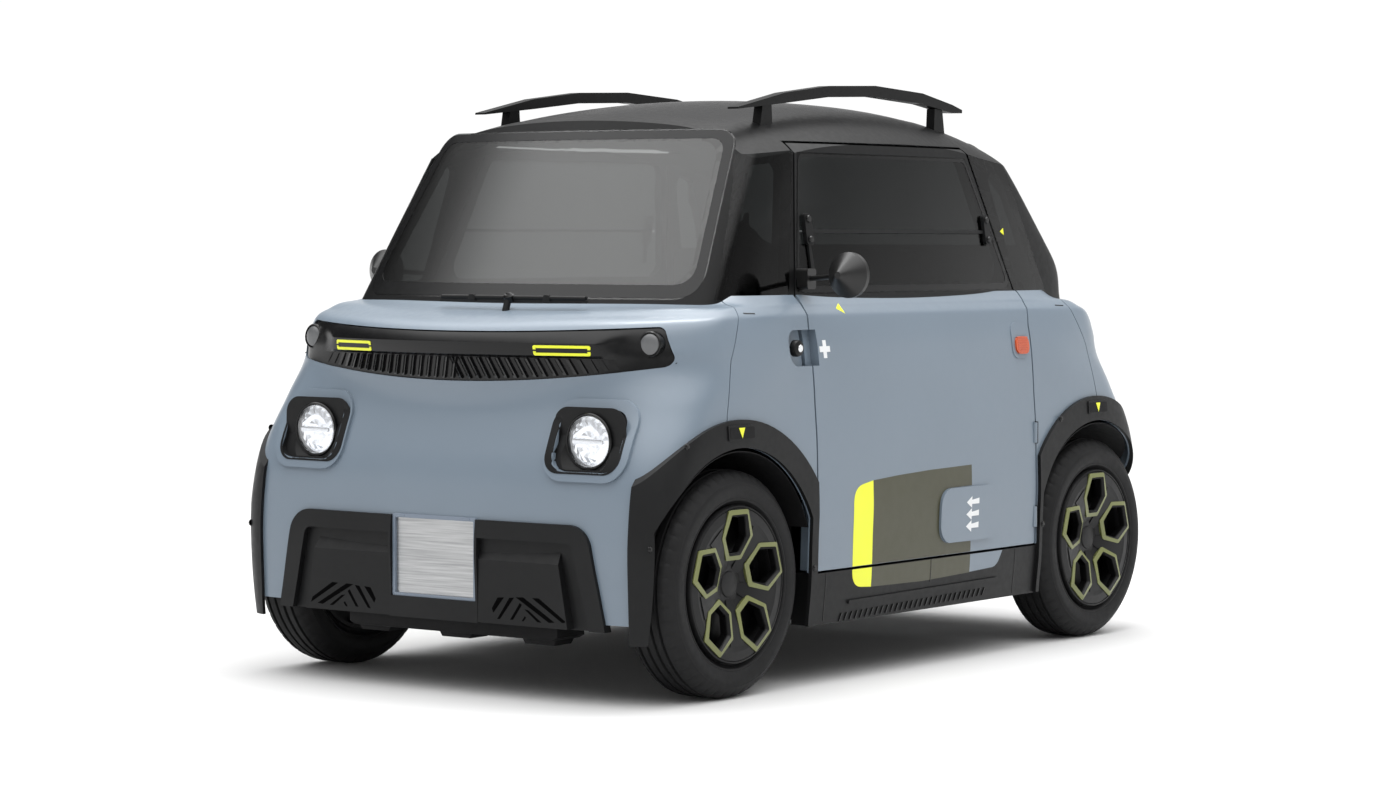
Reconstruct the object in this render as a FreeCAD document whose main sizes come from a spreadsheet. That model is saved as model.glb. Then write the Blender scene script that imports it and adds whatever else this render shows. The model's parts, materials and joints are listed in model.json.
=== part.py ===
import FreeCAD
import Part
import math
import os

# Two-seat electric microcar with jointed wheels, steering and doors.
# Millimetres; ground at z 0, the nose faces -Y and the car's left side is +X.

doc = FreeCAD.newDocument("microcar")
V = FreeCAD.Vector

SIZES = {
    "body_len": 2376.0,
    "body_wide": 1368.0,
    "skin": 4.0,
    "axle_front_y": -839.0,
    "axle_rear_y": 889.0,
    "axle_height": 278.5,
    "tyre_radius": 278.5,
    "tyre_wide": 155.0,
    "wheel_centre_x": 594.0,
    "rim_radius": 186.0,
    "cover_radius": 193.0,
    "arch_open": 333.0,
    "arch_trim": 401.0,
    "arch_half": 300.0,
    "door_front_y": -510.0,
    "door_rear_y": 547.0,
    "door_low_z": 284.0,
    "door_thick": 52.0,
    "shut_gap": 6.0,
    "belt_z": 971.0,
    "sill_low_z": 150.0,
    "roof_crown_z": 1490.0,
    "glass_thick": 5.0,
    "frame_thick": 28.0,
    "pack_front_y": 90.0,
    "pack_long": 420.0,
    "pack_wide": 620.0,
    "pack_high": 190.0,
    "motor_front_y": -990.0,
    "motor_long": 290.0,
    "motor_wide": 300.0,
    "motor_high": 200.0,
    "motor_low_z": 234.0,
    "rail_x": 300.0,
    "rail_wide": 50.0,
    "rail_high": 60.0,
    "rail_low_z": 160.0,
    "rail_end_y": 1090.0,
    "jack_side": 44.0,
    "jack_thick": 6.0,
    "jack_front_y": -480.0,
    "jack_rear_y": 580.0,
    "cross_long": 40.0,
    "outrigger_x": 630.0,
    "sheet_thick": 6.0,
    "floor_half": 640.0,
    "floor_front_y": -515.0,
    "floor_rear_y": 596.0,
    "wall_half": 600.0,
    "front_wall_top": 600.0,
    "back_wall_top": 900.0,
    "shelf_half": 560.0,
    "shelf_front_y": -990.0,
    "nose_wall_half": 360.0,
    "nose_wall_top": 860.0,
    "kingpin_x": 525.0,
    "kingpin_radius": 8.0,
    "kingpin_play": 0.05,
    "stub_radius": 24.9,
    "stub_play": 0.1,
    "strut_x": 440.0,
    "strut_radius": 20.0,
    "axle_square": 50.0,
    "axle_half": 500.0,
    "lamp_x": 439.0,
    "lamp_z": 630.0,
    "lens_radius": 61.9,
    "lens_thick": 26.0,
    "lens_back_y": 1122.0,
    "plate_long": 254.0,
    "plate_high": 189.0,
    "plate_thick": 4.0,
    "plate_low_z": 238.0,
    "plate_back_y": 1172.0,
    "plate_room": 8.0,
    "seat_x": 270.0,
    "seat_wide": 420.0,
    "seat_front_y": -60.0,
    "seat_deep": 460.0,
    "seat_low_z": 416.0,
    "seat_thick": 84.0,
    "seat_back_y": 330.0,
    "seat_back_thick": 70.0,
    "seat_back_high": 590.0,
    "seat_round": 40.0,
    "steer_x": 270.0,
    "steer_y": -330.0,
    "steer_z": 880.0,
    "steer_radius": 165.0,
    "grip_radius": 13.0,
    "column_radius": 16.0,
    "column_play": 0.08,
    "column_long": 310.0,
}

sheet = doc.addObject("Spreadsheet::Sheet", "dims")
row = 1
for name in SIZES:
    sheet.set("A%d" % row, name)
    sheet.set("B%d" % row, str(SIZES[name]))
    sheet.setAlias("B%d" % row, name)
    row = row + 1
doc.recompute()


def size(name):
    return float(sheet.get(name))


HALF_L = size("body_len") / 2
HALF_W = size("body_wide") / 2
SKIN = size("skin")
FY = size("axle_front_y")
RY = size("axle_rear_y")
AZ = size("axle_height")
TYRE_R = size("tyre_radius")
TYRE_W = size("tyre_wide")
WX = size("wheel_centre_x")
RIM_R = size("rim_radius")
GAP = size("shut_gap")
DF = size("door_front_y")
DR = size("door_rear_y")
DOOR_MID = (DF + DR) / 2
DZ = size("door_low_z")
BELT = size("belt_z")
SILL = size("sill_low_z")
GLASS = size("glass_thick")
FRAME = size("frame_thick")
CROWN = size("roof_crown_z")


features = {}


def bind(obj, formulas):
    """Binds properties of a document object to the sheet of sizes."""
    for key, formula in formulas.items():
        obj.setExpression(key, str(formula))
    return obj


def block(name, x, y, z, long_x, long_y, long_z):
    """A box given by formulas for its low corner and its three sizes."""
    obj = doc.addObject("Part::Box", name)
    return bind(obj, {
        "Placement.Base.x": x, "Placement.Base.y": y, "Placement.Base.z": z,
        "Length": long_x, "Width": long_y, "Height": long_z,
    })


def rod(name, x, y, z, radius, height, axis=(0, 0, 1)):
    """A cylinder given by formulas for its foot, radius and height."""
    obj = doc.addObject("Part::Cylinder", name)
    obj.Placement.Rotation = FreeCAD.Rotation(V(0, 0, 1), V(*axis))
    return bind(obj, {
        "Placement.Base.x": x, "Placement.Base.y": y, "Placement.Base.z": z,
        "Radius": radius, "Height": height,
    })


def joined(name, pieces):
    obj = doc.addObject("Part::MultiFuse", name)
    obj.Shapes = pieces
    return obj


def grouped(name, pieces):
    obj = doc.addObject("Part::Compound", name)
    obj.Links = pieces
    return obj


def less(name, base, tool):
    obj = doc.addObject("Part::Cut", name)
    obj.Base = base
    obj.Tool = tool
    return obj


def flipped(name, source):
    """A mirror image in the car's middle plane."""
    obj = doc.addObject("Part::Mirroring", name)
    obj.Source = source
    obj.Base = V(0, 0, 0)
    obj.Normal = V(1, 0, 0)
    return obj


# Plan rings made of three tangent arcs per quadrant.
def quadrant(yf, xs, rf, rs, rc):
    """Points of one quarter ring, from the nose centre round to the side."""
    ay = yf - rf
    bx = xs - rs
    ra = rf - rc
    rb = rs - rc
    gap = math.hypot(bx, ay)
    along = (ra * ra - rb * rb + gap * gap) / (2 * gap)
    high = math.sqrt(max(ra * ra - along * along, 0.0))
    ux = bx / gap
    uy = -ay / gap
    best = None
    for sign in (1, -1):
        cx = ux * along - uy * high * sign
        cy = ay + uy * along + ux * high * sign
        if best is None or cx + cy > best[0] + best[1]:
            best = (cx, cy)
    cx, cy = best
    t1 = math.atan2(cx, cy - ay)
    t2 = math.atan2(cx - bx, cy)
    pts = []
    for k in range(5):
        t = t1 * k / 5.0
        pts.append((rf * math.sin(t), ay + rf * math.cos(t)))
    for k in range(6):
        t = t1 + (t2 - t1) * k / 5.0
        pts.append((cx + rc * math.sin(t), cy + rc * math.cos(t)))
    end = math.pi / 2
    for k in range(1, 4):
        t = t2 + (end - t2) * k / 3.0
        pts.append((bx + rs * math.sin(t), rs * math.cos(t)))
    return pts


def ring(z, front, rear, xs, rs, lift):
    """A closed ring; front and rear are (reach, arc radius, corner radius)."""
    f = quadrant(front[0], xs, front[1], rs, front[2])
    r = quadrant(rear[0], xs, rear[1], rs, rear[2])
    pts = []
    for x, y in f:
        pts.append((x, -y))
    for x, y in reversed(r[:-1]):
        pts.append((x, y))
    for x, y in r[1:]:
        pts.append((-x, y))
    for x, y in reversed(f[1:-1]):
        pts.append((-x, -y))
    out = []
    for x, y in pts:
        s = min(abs(x) / 600.0, 1.0)
        out.append(V(x, y, z + lift * math.sin(s * math.pi / 2) ** 2))
    return out


def inward(grid, depth, ends=12.0):
    """The rings moved in by a depth square to the surface; ends run on."""
    out = []
    rows = len(grid)
    count = len(grid[0])
    for i in range(rows):
        new = []
        for j in range(count):
            a = grid[i][(j + 1) % count] - grid[i][j - 1]
            lo = max(i - 1, 0)
            hi = min(i + 1, rows - 1)
            b = grid[hi][j] - grid[lo][j]
            n = a.cross(b)
            if i == 0 or i == rows - 1:
                n = V(n.x, n.y, 0)
            n.normalize()
            p = grid[i][j] - n * depth
            if i == 0:
                p.z = grid[0][0].z - ends
            if i == rows - 1:
                p.z = grid[-1][0].z + ends
            new.append(p)
        out.append(new)
    return out


def skinned(grid):
    """A smooth solid through rings that share one set of knots."""
    count = len(grid[0])
    knots = [0.0]
    for j in range(count):
        run = 0.0
        for pts in grid:
            run += pts[j].distanceToPoint(pts[(j + 1) % count])
        knots.append(knots[-1] + run / len(grid))
    wires = []
    for pts in grid:
        curve = Part.BSplineCurve()
        curve.interpolate(Points=pts, PeriodicFlag=True, Parameters=knots)
        wires.append(Part.Wire([curve.toShape()]))
    return Part.makeLoft(wires, True, False)


NOSE = HALF_L - 6.0
LOWER = [
    # height, nose reach, front arc, corner radius, half width, side arc, lift
    (SILL - 5, NOSE - 8, 9000, 95, HALF_W - 14, 60000, 0),
    (215, NOSE - 4, 9000, 95, HALF_W - 8, 60000, 0),
    (300, NOSE - 1, 9000, 95, HALF_W - 3, 60000, 0),
    (400, NOSE, 9000, 97, HALF_W, 60000, 0),
    (490, NOSE - 5, 8000, 105, HALF_W, 60000, 0),
    (570, NOSE - 19, 6500, 118, HALF_W - 2, 60000, 6),
    (625, NOSE - 40, 5000, 135, HALF_W - 5, 60000, 18),
    (675, NOSE - 60, 3600, 160, HALF_W - 10, 60000, 34),
    (720, NOSE - 69, 2600, 200, HALF_W - 14, 60000, 48),
    (765, NOSE - 62, 1900, 220, HALF_W - 18, 60000, 42),
    (815, NOSE - 48, 1500, 215, HALF_W - 22, 60000, 24),
    (860, NOSE - 42, 1300, 205, HALF_W - 27, 60000, 8),
    (890, NOSE - 50, 1250, 195, HALF_W - 34, 60000, 8),
    (908, NOSE - 76, 1250, 180, HALF_W - 40, 60000, 12),
    (922, NOSE - 125, 1300, 165, HALF_W - 50, 60000, 14),
    (936, NOSE - 200, 1400, 150, HALF_W - 62, 60000, 14),
    (956, NOSE - 270, 1500, 140, HALF_W - 75, 60000, 7),
    (985, NOSE - 330, 1500, 130, HALF_W - 92, 60000, 0),
]
lower_grid = []
for z, reach, arc, corner, half, side, lift in LOWER:
    lower_grid.append(ring(z, (reach, arc, corner), (reach, arc, corner), half, side, lift))

low_out = skinned(lower_grid)
low_in = skinned(inward(lower_grid, SKIN))

REAR_REACH = [(860, 975), (940, 977), (1000, 977), (1045, 969), (1090, 935), (1200, 836), (1300, 742),
              (1400, 642), (1500, 532), (1600, 412)]


def greenhouse(depth, ends=0.0):
    """The glazed upper body, moved in by a depth in plan; its ends run on straight."""
    heights = [z for z, back in REAR_REACH]
    rows = []
    for z, back in REAR_REACH:
        high = z
        if z == heights[0]:
            high = z - ends
        if z == heights[-1]:
            high = z + ends
            back = back - 1.2 * ends
        reach = 928.0 - (high - 938) * 0.652 - depth
        half = 625.6 - (high - 860) * 0.1603 - depth
        front = (reach, 1750 - depth, 62 - depth)
        rows.append(ring(high, front, (back - depth, 1900 - depth, 75 - depth), half, 9000 - depth, 0))
    return skinned(rows)


green_out = greenhouse(0.0)
green_in = greenhouse(FRAME, 30)
green_glass = greenhouse(GLASS, 30)


def dome(drop):
    crown = [(-1000, 1310), (-800, 1372), (-605, 1420), (-400, 1458), (-200, 1481), (60, 1490),
             (300, 1479), (500, 1452), (700, 1404), (900, 1330), (1100, 1235)]
    wires = []
    for y, z in crown:
        top = z - 1490.0 + CROWN - drop
        pts = []
        for x, d in ((-680, 262), (-600, 176), (-520, 105), (-415, 47), (-250, 13), (0, 0),
                     (250, 13), (415, 47), (520, 105), (600, 176), (680, 262)):
            pts.append(V(x, y, top - d))
        curve = Part.BSplineCurve()
        curve.interpolate(Points=pts)
        a = pts[-1]
        b = pts[0]
        wires.append(Part.Wire([
            curve.toShape(),
            Part.makeLine(a, V(a.x, a.y, 700)),
            Part.makeLine(V(a.x, a.y, 700), V(b.x, b.y, 700)),
            Part.makeLine(V(b.x, b.y, 700), b),
        ]))
    return Part.makeLoft(wires, True, False)


dome_out = dome(0)
dome_in = dome(FRAME)
dome_roof_in = dome(6.0)


def box(x0, y0, z0, x1, y1, z1):
    return Part.makeBox(x1 - x0, y1 - y0, z1 - z0, V(x0, y0, z0))


def slab_x(points, x0, x1):
    """A prism along X of a polygon given in (y, z)."""
    pts = [V(x0, y, z) for y, z in points]
    face = Part.Face(Part.makePolygon(pts + [pts[0]]))
    return face.extrude(V(x1 - x0, 0, 0))


def slab_y(points, y0, y1):
    """A prism along Y of a polygon given in (x, z)."""
    pts = [V(x, y0, z) for x, z in points]
    face = Part.Face(Part.makePolygon(pts + [pts[0]]))
    return face.extrude(V(0, y1 - y0, 0))


def soft(shape, direction, radius):
    """Rounds the edges of a prism that run along a direction."""
    edges = []
    for edge in shape.Edges:
        if edge.Curve.TypeId == "Part::GeomLine":
            run = edge.tangentAt(edge.FirstParameter)
            if abs(abs(run.dot(direction)) - 1) < 1e-6:
                edges.append(edge)
    return shape.makeFillet(radius, edges)


def disc(x0, x1, y, z, radius):
    return Part.makeCylinder(radius, x1 - x0, V(x0, y, z), V(1, 0, 0))


def mirror_x(shape):
    return shape.mirror(V(0, 0, 0), V(1, 0, 0))


def turned(shape):
    """The same piece turned half way round, as on the car's other side."""
    out = shape.copy()
    out.rotate(V(0, 0, 0), V(0, 0, 1), 180)
    return out


def other_door(shape):
    """A door piece turned half way round about the middle of the door openings."""
    out = shape.copy()
    out.rotate(V(0, DOOR_MID, 0), V(0, 0, 1), 180)
    return out


def solids_over(shape, least):
    keep = [s for s in shape.Solids if s.Volume > least]
    if len(keep) == 1:
        return keep[0]
    return Part.makeCompound(keep)


nodes = {}


def add(name, made):
    """Keeps a piece: a bound document object, or a shape made by Part functions."""
    if isinstance(made, Part.Shape):
        obj = doc.addObject("Part::Feature", name)
        obj.Shape = made
    else:
        obj = made
        doc.recompute()
    obj.Label = name
    nodes[name] = obj.Shape
    features[name] = obj
    print("made", name, flush=True)


# Regions.
FAR = 900
HINGE_X = 683.5
SEAM = -800.0
REAR_SEAM = 812.0
ARCH_F = FY - 6
ARCH_R = RY - 19


def arch_cut(y, radius):
    legs = size("arch_half")
    round_top = disc(-FAR, FAR, y, AZ, radius).common(box(-FAR, y - legs, AZ - 20, FAR, y + legs, 900))
    return round_top.fuse(box(-FAR, y - legs, 0, FAR, y + legs, AZ))


cut_front = arch_cut(ARCH_F, size("arch_open"))
cut_rear = arch_cut(ARCH_R, size("arch_open"))
both_arches = cut_front.fuse(cut_rear)


def door_polygon(grow):
    """The left door in (y, z): body side, belt and slanted window frame."""
    g = grow
    return [
        (DF - g, DZ - g), (DR + g, DZ - g), (DR + g, 880), (DR + 26 + g, BELT),
        (398 + g, 1362 + g), (-416 - g, 1362 + g), (DF + 20 - g, BELT), (DF - g, 880),
    ]


left_hole = slab_x(door_polygon(GAP / 2), 400, FAR)
left_door = slab_x(door_polygon(-GAP / 2), 400, FAR)
holes = left_hole.fuse(other_door(left_hole))

# Lower body shell.
def skin_piece(zone):
    """The body skin inside a zone, clear of the greenhouse foot."""
    piece = low_out.common(zone).cut(low_in)
    return piece.cut(green_out)


SHOULDER = BELT + 5
SEAM_LINE = [(-770, SHOULDER), (-786, 938), (-850, 823), (-885, 690), (-900, 600), (-900, 150)]


def seam_part(shift, end, sign):
    """The body ahead of, or behind, the slanted seam between moulding and wing."""
    pts = [(sign * (y + shift), z) for y, z in SEAM_LINE]
    pts = pts + [(sign * end, 150), (sign * end, SHOULDER)]
    return slab_x(pts, -FAR, FAR)


low_edge = box(-FAR, -1400, 0, FAR, 1400, SILL + 48)
front_part = seam_part(-1.5, -1400, 1).cut(low_edge)
rear_part = seam_part(-1.5, -1400, -1).cut(low_edge)
wing_front = seam_part(1.5, DF + 10, 1).cut(box(-FAR, -1400, 0, FAR, 1400, DZ + 2))
wing_rear = seam_part(1.5, -DR + 10, -1).cut(box(-FAR, -1400, 0, FAR, 1400, DZ + 2))

lamp_open = soft(box(-95, -1400, -74, 95, -900, 74), V(0, 1, 0), 40)
lamp_wide = soft(box(-105, -1400, -84, 105, -900, 84), V(0, 1, 0), 48)
lamp_cuts = []
lamp_seats = []
for sx in (-1, 1):
    one = lamp_open.copy()
    one.translate(V(sx * 444, 0, 632))
    lamp_cuts.append(one)
    wide = lamp_wide.copy()
    wide.translate(V(sx * 444, 0, 632))
    lamp_seats.append(wide)


def band_block(grow, radius):
    low = [V(x, -1400, z) for x, z in ((-604 - grow, 812 - grow / 2), (0, 765 - grow), (604 + grow, 812 - grow / 2))]
    top = [V(x, -1400, z) for x, z in ((563 + grow, 905 + grow), (0, 889 + grow), (-563 - grow, 905 + grow))]
    edges = [Part.Arc(*low).toShape(), Part.makeLine(low[2], top[0])]
    edges = edges + [Part.Arc(*top).toShape(), Part.makeLine(top[2], low[0])]
    return soft(Part.Face(Part.Wire(edges)).extrude(V(0, 700, 0)), V(0, 1, 0), radius)


band_open = band_block(0.0, 22)
band_seat = band_block(8.0, 28)


def insert_block(grow):
    """The outline of the bumper insert, a wide trapezium with rounded top corners."""
    g = grow
    pts = [(-540 - g, 100), (540 + g, 100), (470 + g, 432 + g), (-470 - g, 432 + g)]
    return soft(slab_y(pts, -1400, -900), V(0, 1, 0), 66 + g)


insert_open = insert_block(0)
front_cuts = lamp_cuts[0].fuse(lamp_cuts[1]).fuse(band_open).fuse(insert_open)
eye = soft(box(-122, -1400, -98, 122, -900, 98), V(0, 1, 0), 62)
eyes = []
for sx in (-1, 1):
    one = eye.copy()
    one.translate(V(sx * 444, 0, 633))
    eyes.append(one)
brow_out = skinned(inward(lower_grid, -8.0, 0.0))
brow = brow_out.common(eyes[0].fuse(eyes[1]).cut(front_cuts)).cut(low_out)
moulding = skin_piece(front_part.cut(front_cuts)).fuse(brow)
add("front_fascia", solids_over(moulding.cut(cut_front), 1000))
add("rear_fascia", solids_over(turned(moulding).cut(cut_rear).cut(green_out), 1000))
reach_in = soft(slab_x([(-606, 800), (-440, 800), (-440, 890), (-606, 890)], 400, FAR), V(1, 0, 0), 34)
reach_seat = soft(slab_x([(-616, 790), (-430, 790), (-430, 900), (-616, 900)], 400, FAR), V(1, 0, 0), 40)
reach_seat = reach_seat.common(box(400, -1400, 0, FAR, DF - GAP / 2, 1100))
grips = reach_in.fuse(other_door(reach_in))
wings = skin_piece(wing_front.cut(cut_front).cut(holes).cut(grips))
wings_rear = skin_piece(wing_rear.cut(cut_rear).cut(holes).cut(grips))
add("front_wings", solids_over(wings, 1000))
cup_low = low_in.copy()
cup_low.translate(V(-26, 0, 0))
cup_back = low_in.copy()
cup_back.translate(V(-30, 0, 0))
cup = low_in.common(reach_seat).cut(cup_back)
cup = cup.cut(low_in.common(reach_in).cut(cup_low))
add("handle_cups", Part.makeCompound(cup.Solids + other_door(cup).Solids))
add("rear_wings", solids_over(wings_rear, 1000))

# Sills.
sill_band = box(-FAR, DF - 10, SILL, FAR, DR + 12, DZ - GAP / 2)
sills = low_out.common(sill_band).cut(skinned(inward(lower_grid, 60.0)))
add("sills", solids_over(sills, 1000))

# Arch trims.
low_trim = skinned(inward(lower_grid, -10.0, 0.0))
trims = []
for y, lo, hi in ((ARCH_F, -1400, DF - 8), (ARCH_R, DR + 8, 1400)):
    outer = disc(-FAR, FAR, y, AZ, size("arch_trim"))
    outer = outer.fuse(box(-FAR, y - 360, SILL, FAR, y + 360, AZ))
    sides = box(-FAR, lo, SILL + 2, -590, hi, 800).fuse(box(590, lo, SILL + 2, FAR, hi, 800))
    zone = outer.common(sides).cut(both_arches)
    trim = low_trim.common(zone).cut(low_out)
    trims.append(trim)
add("arch_trims", solids_over(Part.makeCompound(trims[0].Solids + trims[1].Solids), 1000))

# Lamps, band and bumper inserts.
inset30 = skinned(inward(lower_grid, 34.0))
band = low_in.common(band_seat.common(front_part)).cut(inset30)
add("lamp_band_front", solids_over(band, 1000))
add("lamp_band_rear", turned(nodes["lamp_band_front"]))
inset16 = skinned(inward(lower_grid, 16.0))
low_bump = skinned(inward(lower_grid, -10.0, 0.0))
insert = low_bump.common(insert_open.common(box(-FAR, -1400, SILL + 30, FAR, -900, 500))).cut(inset16)
room = size("plate_long") / 2 + size("plate_room")
plate_hole = box(-room, -1400, size("plate_low_z") - 6, room, -size("plate_back_y"), 470)
insert_f = insert.cut(plate_hole)
beside = box(-FAR, -1400, SILL + 20, -142, -900, 500).fuse(box(142, -1400, SILL + 20, FAR, -900, 500))
recess = insert_block(-44).common(beside)
shallow = skinned(inward(lower_grid, 6.0))
insert_f = insert_f.cut(recess.cut(shallow))
for sx in (-1, 1):
    pts = [(sx * 142, SILL + 32), (sx * 142, 366), (sx * 384, 378), (sx * 420, SILL + 32)]
    pad = slab_y(pts, -1186, -1160)
    slope = slab_x([(-1200, 330), (-1200, 420), (-1160, 420), (-1160, 378), (-1186, 336)], -500, 500)
    insert_f = insert_f.fuse(pad.cut(slope))
add("bumper_insert_front", solids_over(insert_f, 1000))
insert_r = turned(insert_f)
add("bumper_insert_rear", solids_over(insert_r, 1000))
plate_pair = []
for k, y in enumerate(("-dims.plate_back_y - dims.plate_thick", "dims.plate_back_y")):
    plate_pair.append(block("plate_%d" % k, "-dims.plate_long / 2", y, "dims.plate_low_z",
                            "dims.plate_long", "dims.plate_thick", "dims.plate_high"))
add("plates", grouped("plates", plate_pair))

inset60 = skinned(inward(lower_grid, 60.0))
bowls = []
for sx in (-1, 1):
    bowl = low_in.common(lamp_seats[0 if sx < 0 else 1]).cut(inset60)
    bore = Part.makeCylinder(size("lens_radius") + 0.1, 300, V(sx * size("lamp_x"), -1250, size("lamp_z")),
                             V(0, 1, 0))
    mouth = V(sx * size("lamp_x"), -size("lens_back_y"), size("lamp_z"))
    funnel = Part.makeCone(size("lens_radius") + 0.1, size("lens_radius") + 60.1, 60, mouth, V(0, -1, 0))
    throat = soft(box(-91, -1400, -70, 91, -900, 70), V(0, 1, 0), 37)
    throat.translate(V(sx * 444, 0, 632))
    bowl = bowl.cut(bore).cut(funnel.common(throat))
    bowls.append(bowl)
add("headlamp_bowls", solids_over(Part.makeCompound(bowls[0].Solids + bowls[1].Solids), 1000))


def lamp_pair(name, way):
    """Two round lenses on one end of the car; way is -1 in front and 1 behind."""
    pair = []
    for sx in (-1, 1):
        one = rod("%s_%d" % (name, sx + 2), "%d * dims.lamp_x" % sx, "%d * dims.lens_back_y" % way,
                  "dims.lamp_z", "dims.lens_radius", "dims.lens_thick", (0, -way, 0))
        pair.append(one)
    return grouped(name, pair)


add("front_lenses", lamp_pair("front_lenses", -1))
add("tail_bowls", turned(nodes["headlamp_bowls"]))
add("tail_lamps", lamp_pair("tail_lamps", 1))

# Greenhouse.
green = green_out.common(dome_out)
green_hollow = green_in.common(dome_in)
cage = green.common(box(-FAR, -1400, 918, FAR, 1400, 1600)).cut(green_hollow)
roof_line = [(-1400, 1345), (-601, 1345), (-422, 1366), (400, 1370), (573, 1340), (1400, 1340),
             (1400, 1700), (-1400, 1700)]
roof_zone = slab_x(roof_line, -FAR, FAR)
header_box = box(-FAR, -1400, 900, FAR, -596, 1700)
tail_box = box(-FAR, 470, 900, FAR, 1400, 1700)
roof_zone = roof_zone.cut(header_box).cut(tail_box)
frame_zone = cage.cut(roof_zone).cut(holes)


def before_glass(prism):
    """The part of a prism outside the back face of the glass."""
    return prism.cut(green_glass)


screen_pane = soft(slab_y([(-545, 966), (545, 966), (474, 1392), (-474, 1392)], -1400, -400), V(0, 1, 0), 60)
screen_open = soft(slab_y([(-500, 996), (500, 996), (436, 1360), (-436, 1360)], -1400, -400), V(0, 1, 0), 54)
tail_pane = soft(slab_y([(-520, 1070), (520, 1070), (450, 1384), (-450, 1384)], 400, 1400), V(0, 1, 0), 60)
tail_open = soft(slab_y([(-480, 1100), (480, 1100), (420, 1352), (-420, 1352)], 400, 1400), V(0, 1, 0), 50)
QUARTER_FRONT = [(-797, 966), (DF - 5, 966), (-426, 1340), (-606, 1326)]
QUARTER_REAR = [(DR + 20, 966), (762, 966), (606, 1322), (410, 1344)]
SIGHT_FRONT = [(-745, 1000), (-550, 1000), (-474, 1310), (-592, 1298)]
SIGHT_REAR = [(598, 1000), (712, 1000), (586, 1282), (496, 1308)]
quarter_panes = []
quarter_opens = []
for outline, sight in ((QUARTER_FRONT, SIGHT_FRONT), (QUARTER_REAR, SIGHT_REAR)):
    quarter_panes.append(before_glass(slab_x(outline, -FAR, FAR).cut(holes)))
    quarter_opens.append(soft(slab_x(sight, -FAR, FAR), V(1, 0, 0), 24))
screen_zone = before_glass(screen_pane)
tail_zone = before_glass(tail_pane)
quarter_panes[0] = quarter_panes[0].cut(screen_pane)
glass_open = soft(box(-392, -520, 1300, 392, 420, 1700), V(0, 0, 1), 60)
roof = cage.common(roof_zone).cut(holes).cut(screen_zone).cut(tail_zone).cut(glass_open)
add("roof_shell", solids_over(roof, 1000))
roof_panel = green.common(dome(2.0)).cut(dome(8.0)).common(glass_open)
add("roof_glass", solids_over(roof_panel, 1000))
front_cage = frame_zone.common(box(-FAR, -1400, 800, FAR, 0, 1700))
front_cage = front_cage.cut(screen_zone).cut(screen_open)
front_cage = front_cage.cut(quarter_panes[0]).cut(quarter_opens[0])
rear_cage = frame_zone.common(box(-FAR, 0, 800, FAR, 1400, 1700))
rear_cage = rear_cage.cut(tail_zone).cut(tail_open)
rear_cage = rear_cage.cut(quarter_panes[1]).cut(quarter_opens[1])
add("front_pillars", solids_over(front_cage, 100000))
add("rear_pillars", solids_over(rear_cage, 100000))
add("windscreen", solids_over(green_out.common(screen_zone), 1000))
add("rear_window", solids_over(green_out.common(tail_zone), 1000))
quarters = []
for zone in quarter_panes:
    quarters = quarters + green_out.common(zone).Solids
add("quarter_glass", solids_over(Part.makeCompound(quarters), 1000))

# Rails.
rails = []
for x in (-415, 415):
    top = [(-508, 1449), (-300, 1492), (-100, 1516), (117, 1524), (350, 1512), (500, 1486), (552, 1473)]
    low = [(552, 1464), (500, 1463), (350, 1483), (117, 1495), (-100, 1487), (-300, 1465), (-508, 1444)]
    rail = slab_x(top + low, x - 17, x + 17)
    feet = slab_x([(-412, 1380), (-352, 1380), (-358, 1464), (-396, 1464)], x - 13, x + 13)
    feet = feet.fuse(slab_x([(412, 1380), (472, 1380), (456, 1472), (418, 1472)], x - 13, x + 13))
    rails.append(rail.fuse(feet.cut(dome_out)))
add("roof_rails", Part.makeCompound(rails))

# Doors.
window = soft(slab_x([(-462, 1004), (505, 1004), (372, 1330), (-394, 1330)], 300, FAR), V(1, 0, 0), 40)
door_top = left_door.common(box(0, -1400, 918, FAR, 1400, 1500))
door_low = left_door.common(box(0, -1400, 0, FAR, 1400, SHOULDER))
core = low_in.copy()
core.translate(V(SKIN - size("door_thick"), 0, 0))
panel = low_out.common(door_low).cut(core).cut(green_out)
PANE_EDGE = [(DF + 27, BELT + 6), (DR + 18, BELT + 6), (390, 1336), (-408, 1336)]
flap_line = box(300, -1400, 1134, FAR, 1400, 1138)
door_pane = before_glass(slab_x(PANE_EDGE, 300, FAR))
glass = green_out.common(door_pane).cut(flap_line)
frame = green.common(door_top).cut(green_hollow)
frame = frame.cut(panel).cut(door_pane).cut(window)
blister = soft(slab_x([(50, 318), (332, 318), (332, 462), (50, 462)], 500, FAR), V(1, 0, 0), 50)
bump_out = skinned(inward(lower_grid, -7.0, 0.0))
panel = panel.fuse(bump_out.common(blister).cut(low_out))
grip_low = low_in.copy()
grip_low.translate(V(-20, 0, 0))
panel = panel.cut(low_out.common(reach_in).common(box(400, DF - 5, 0, FAR, DF + 30, 1100)).cut(grip_low))
glass = solids_over(glass, 1000)
MIRROR = V(760, -503, 1027)
head = Part.makeCone(9, 57, 46, MIRROR - V(0, 42, 0), V(0, 1, 0))
head = head.fuse(Part.makeCylinder(57, 12, MIRROR + V(0, 4, 0), V(0, 1, 0)))
ball = V(608, -452, 1016)
stem = Part.makeCylinder(6.5, (MIRROR - ball).Length, ball, MIRROR - ball)
foot = soft(box(585, -474, 990, 622, -436, 1042), V(1, 0, 0), 8)
mirror = head.fuse(stem).fuse(foot).cut(green_out)
knuckles = []
pins = []
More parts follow.
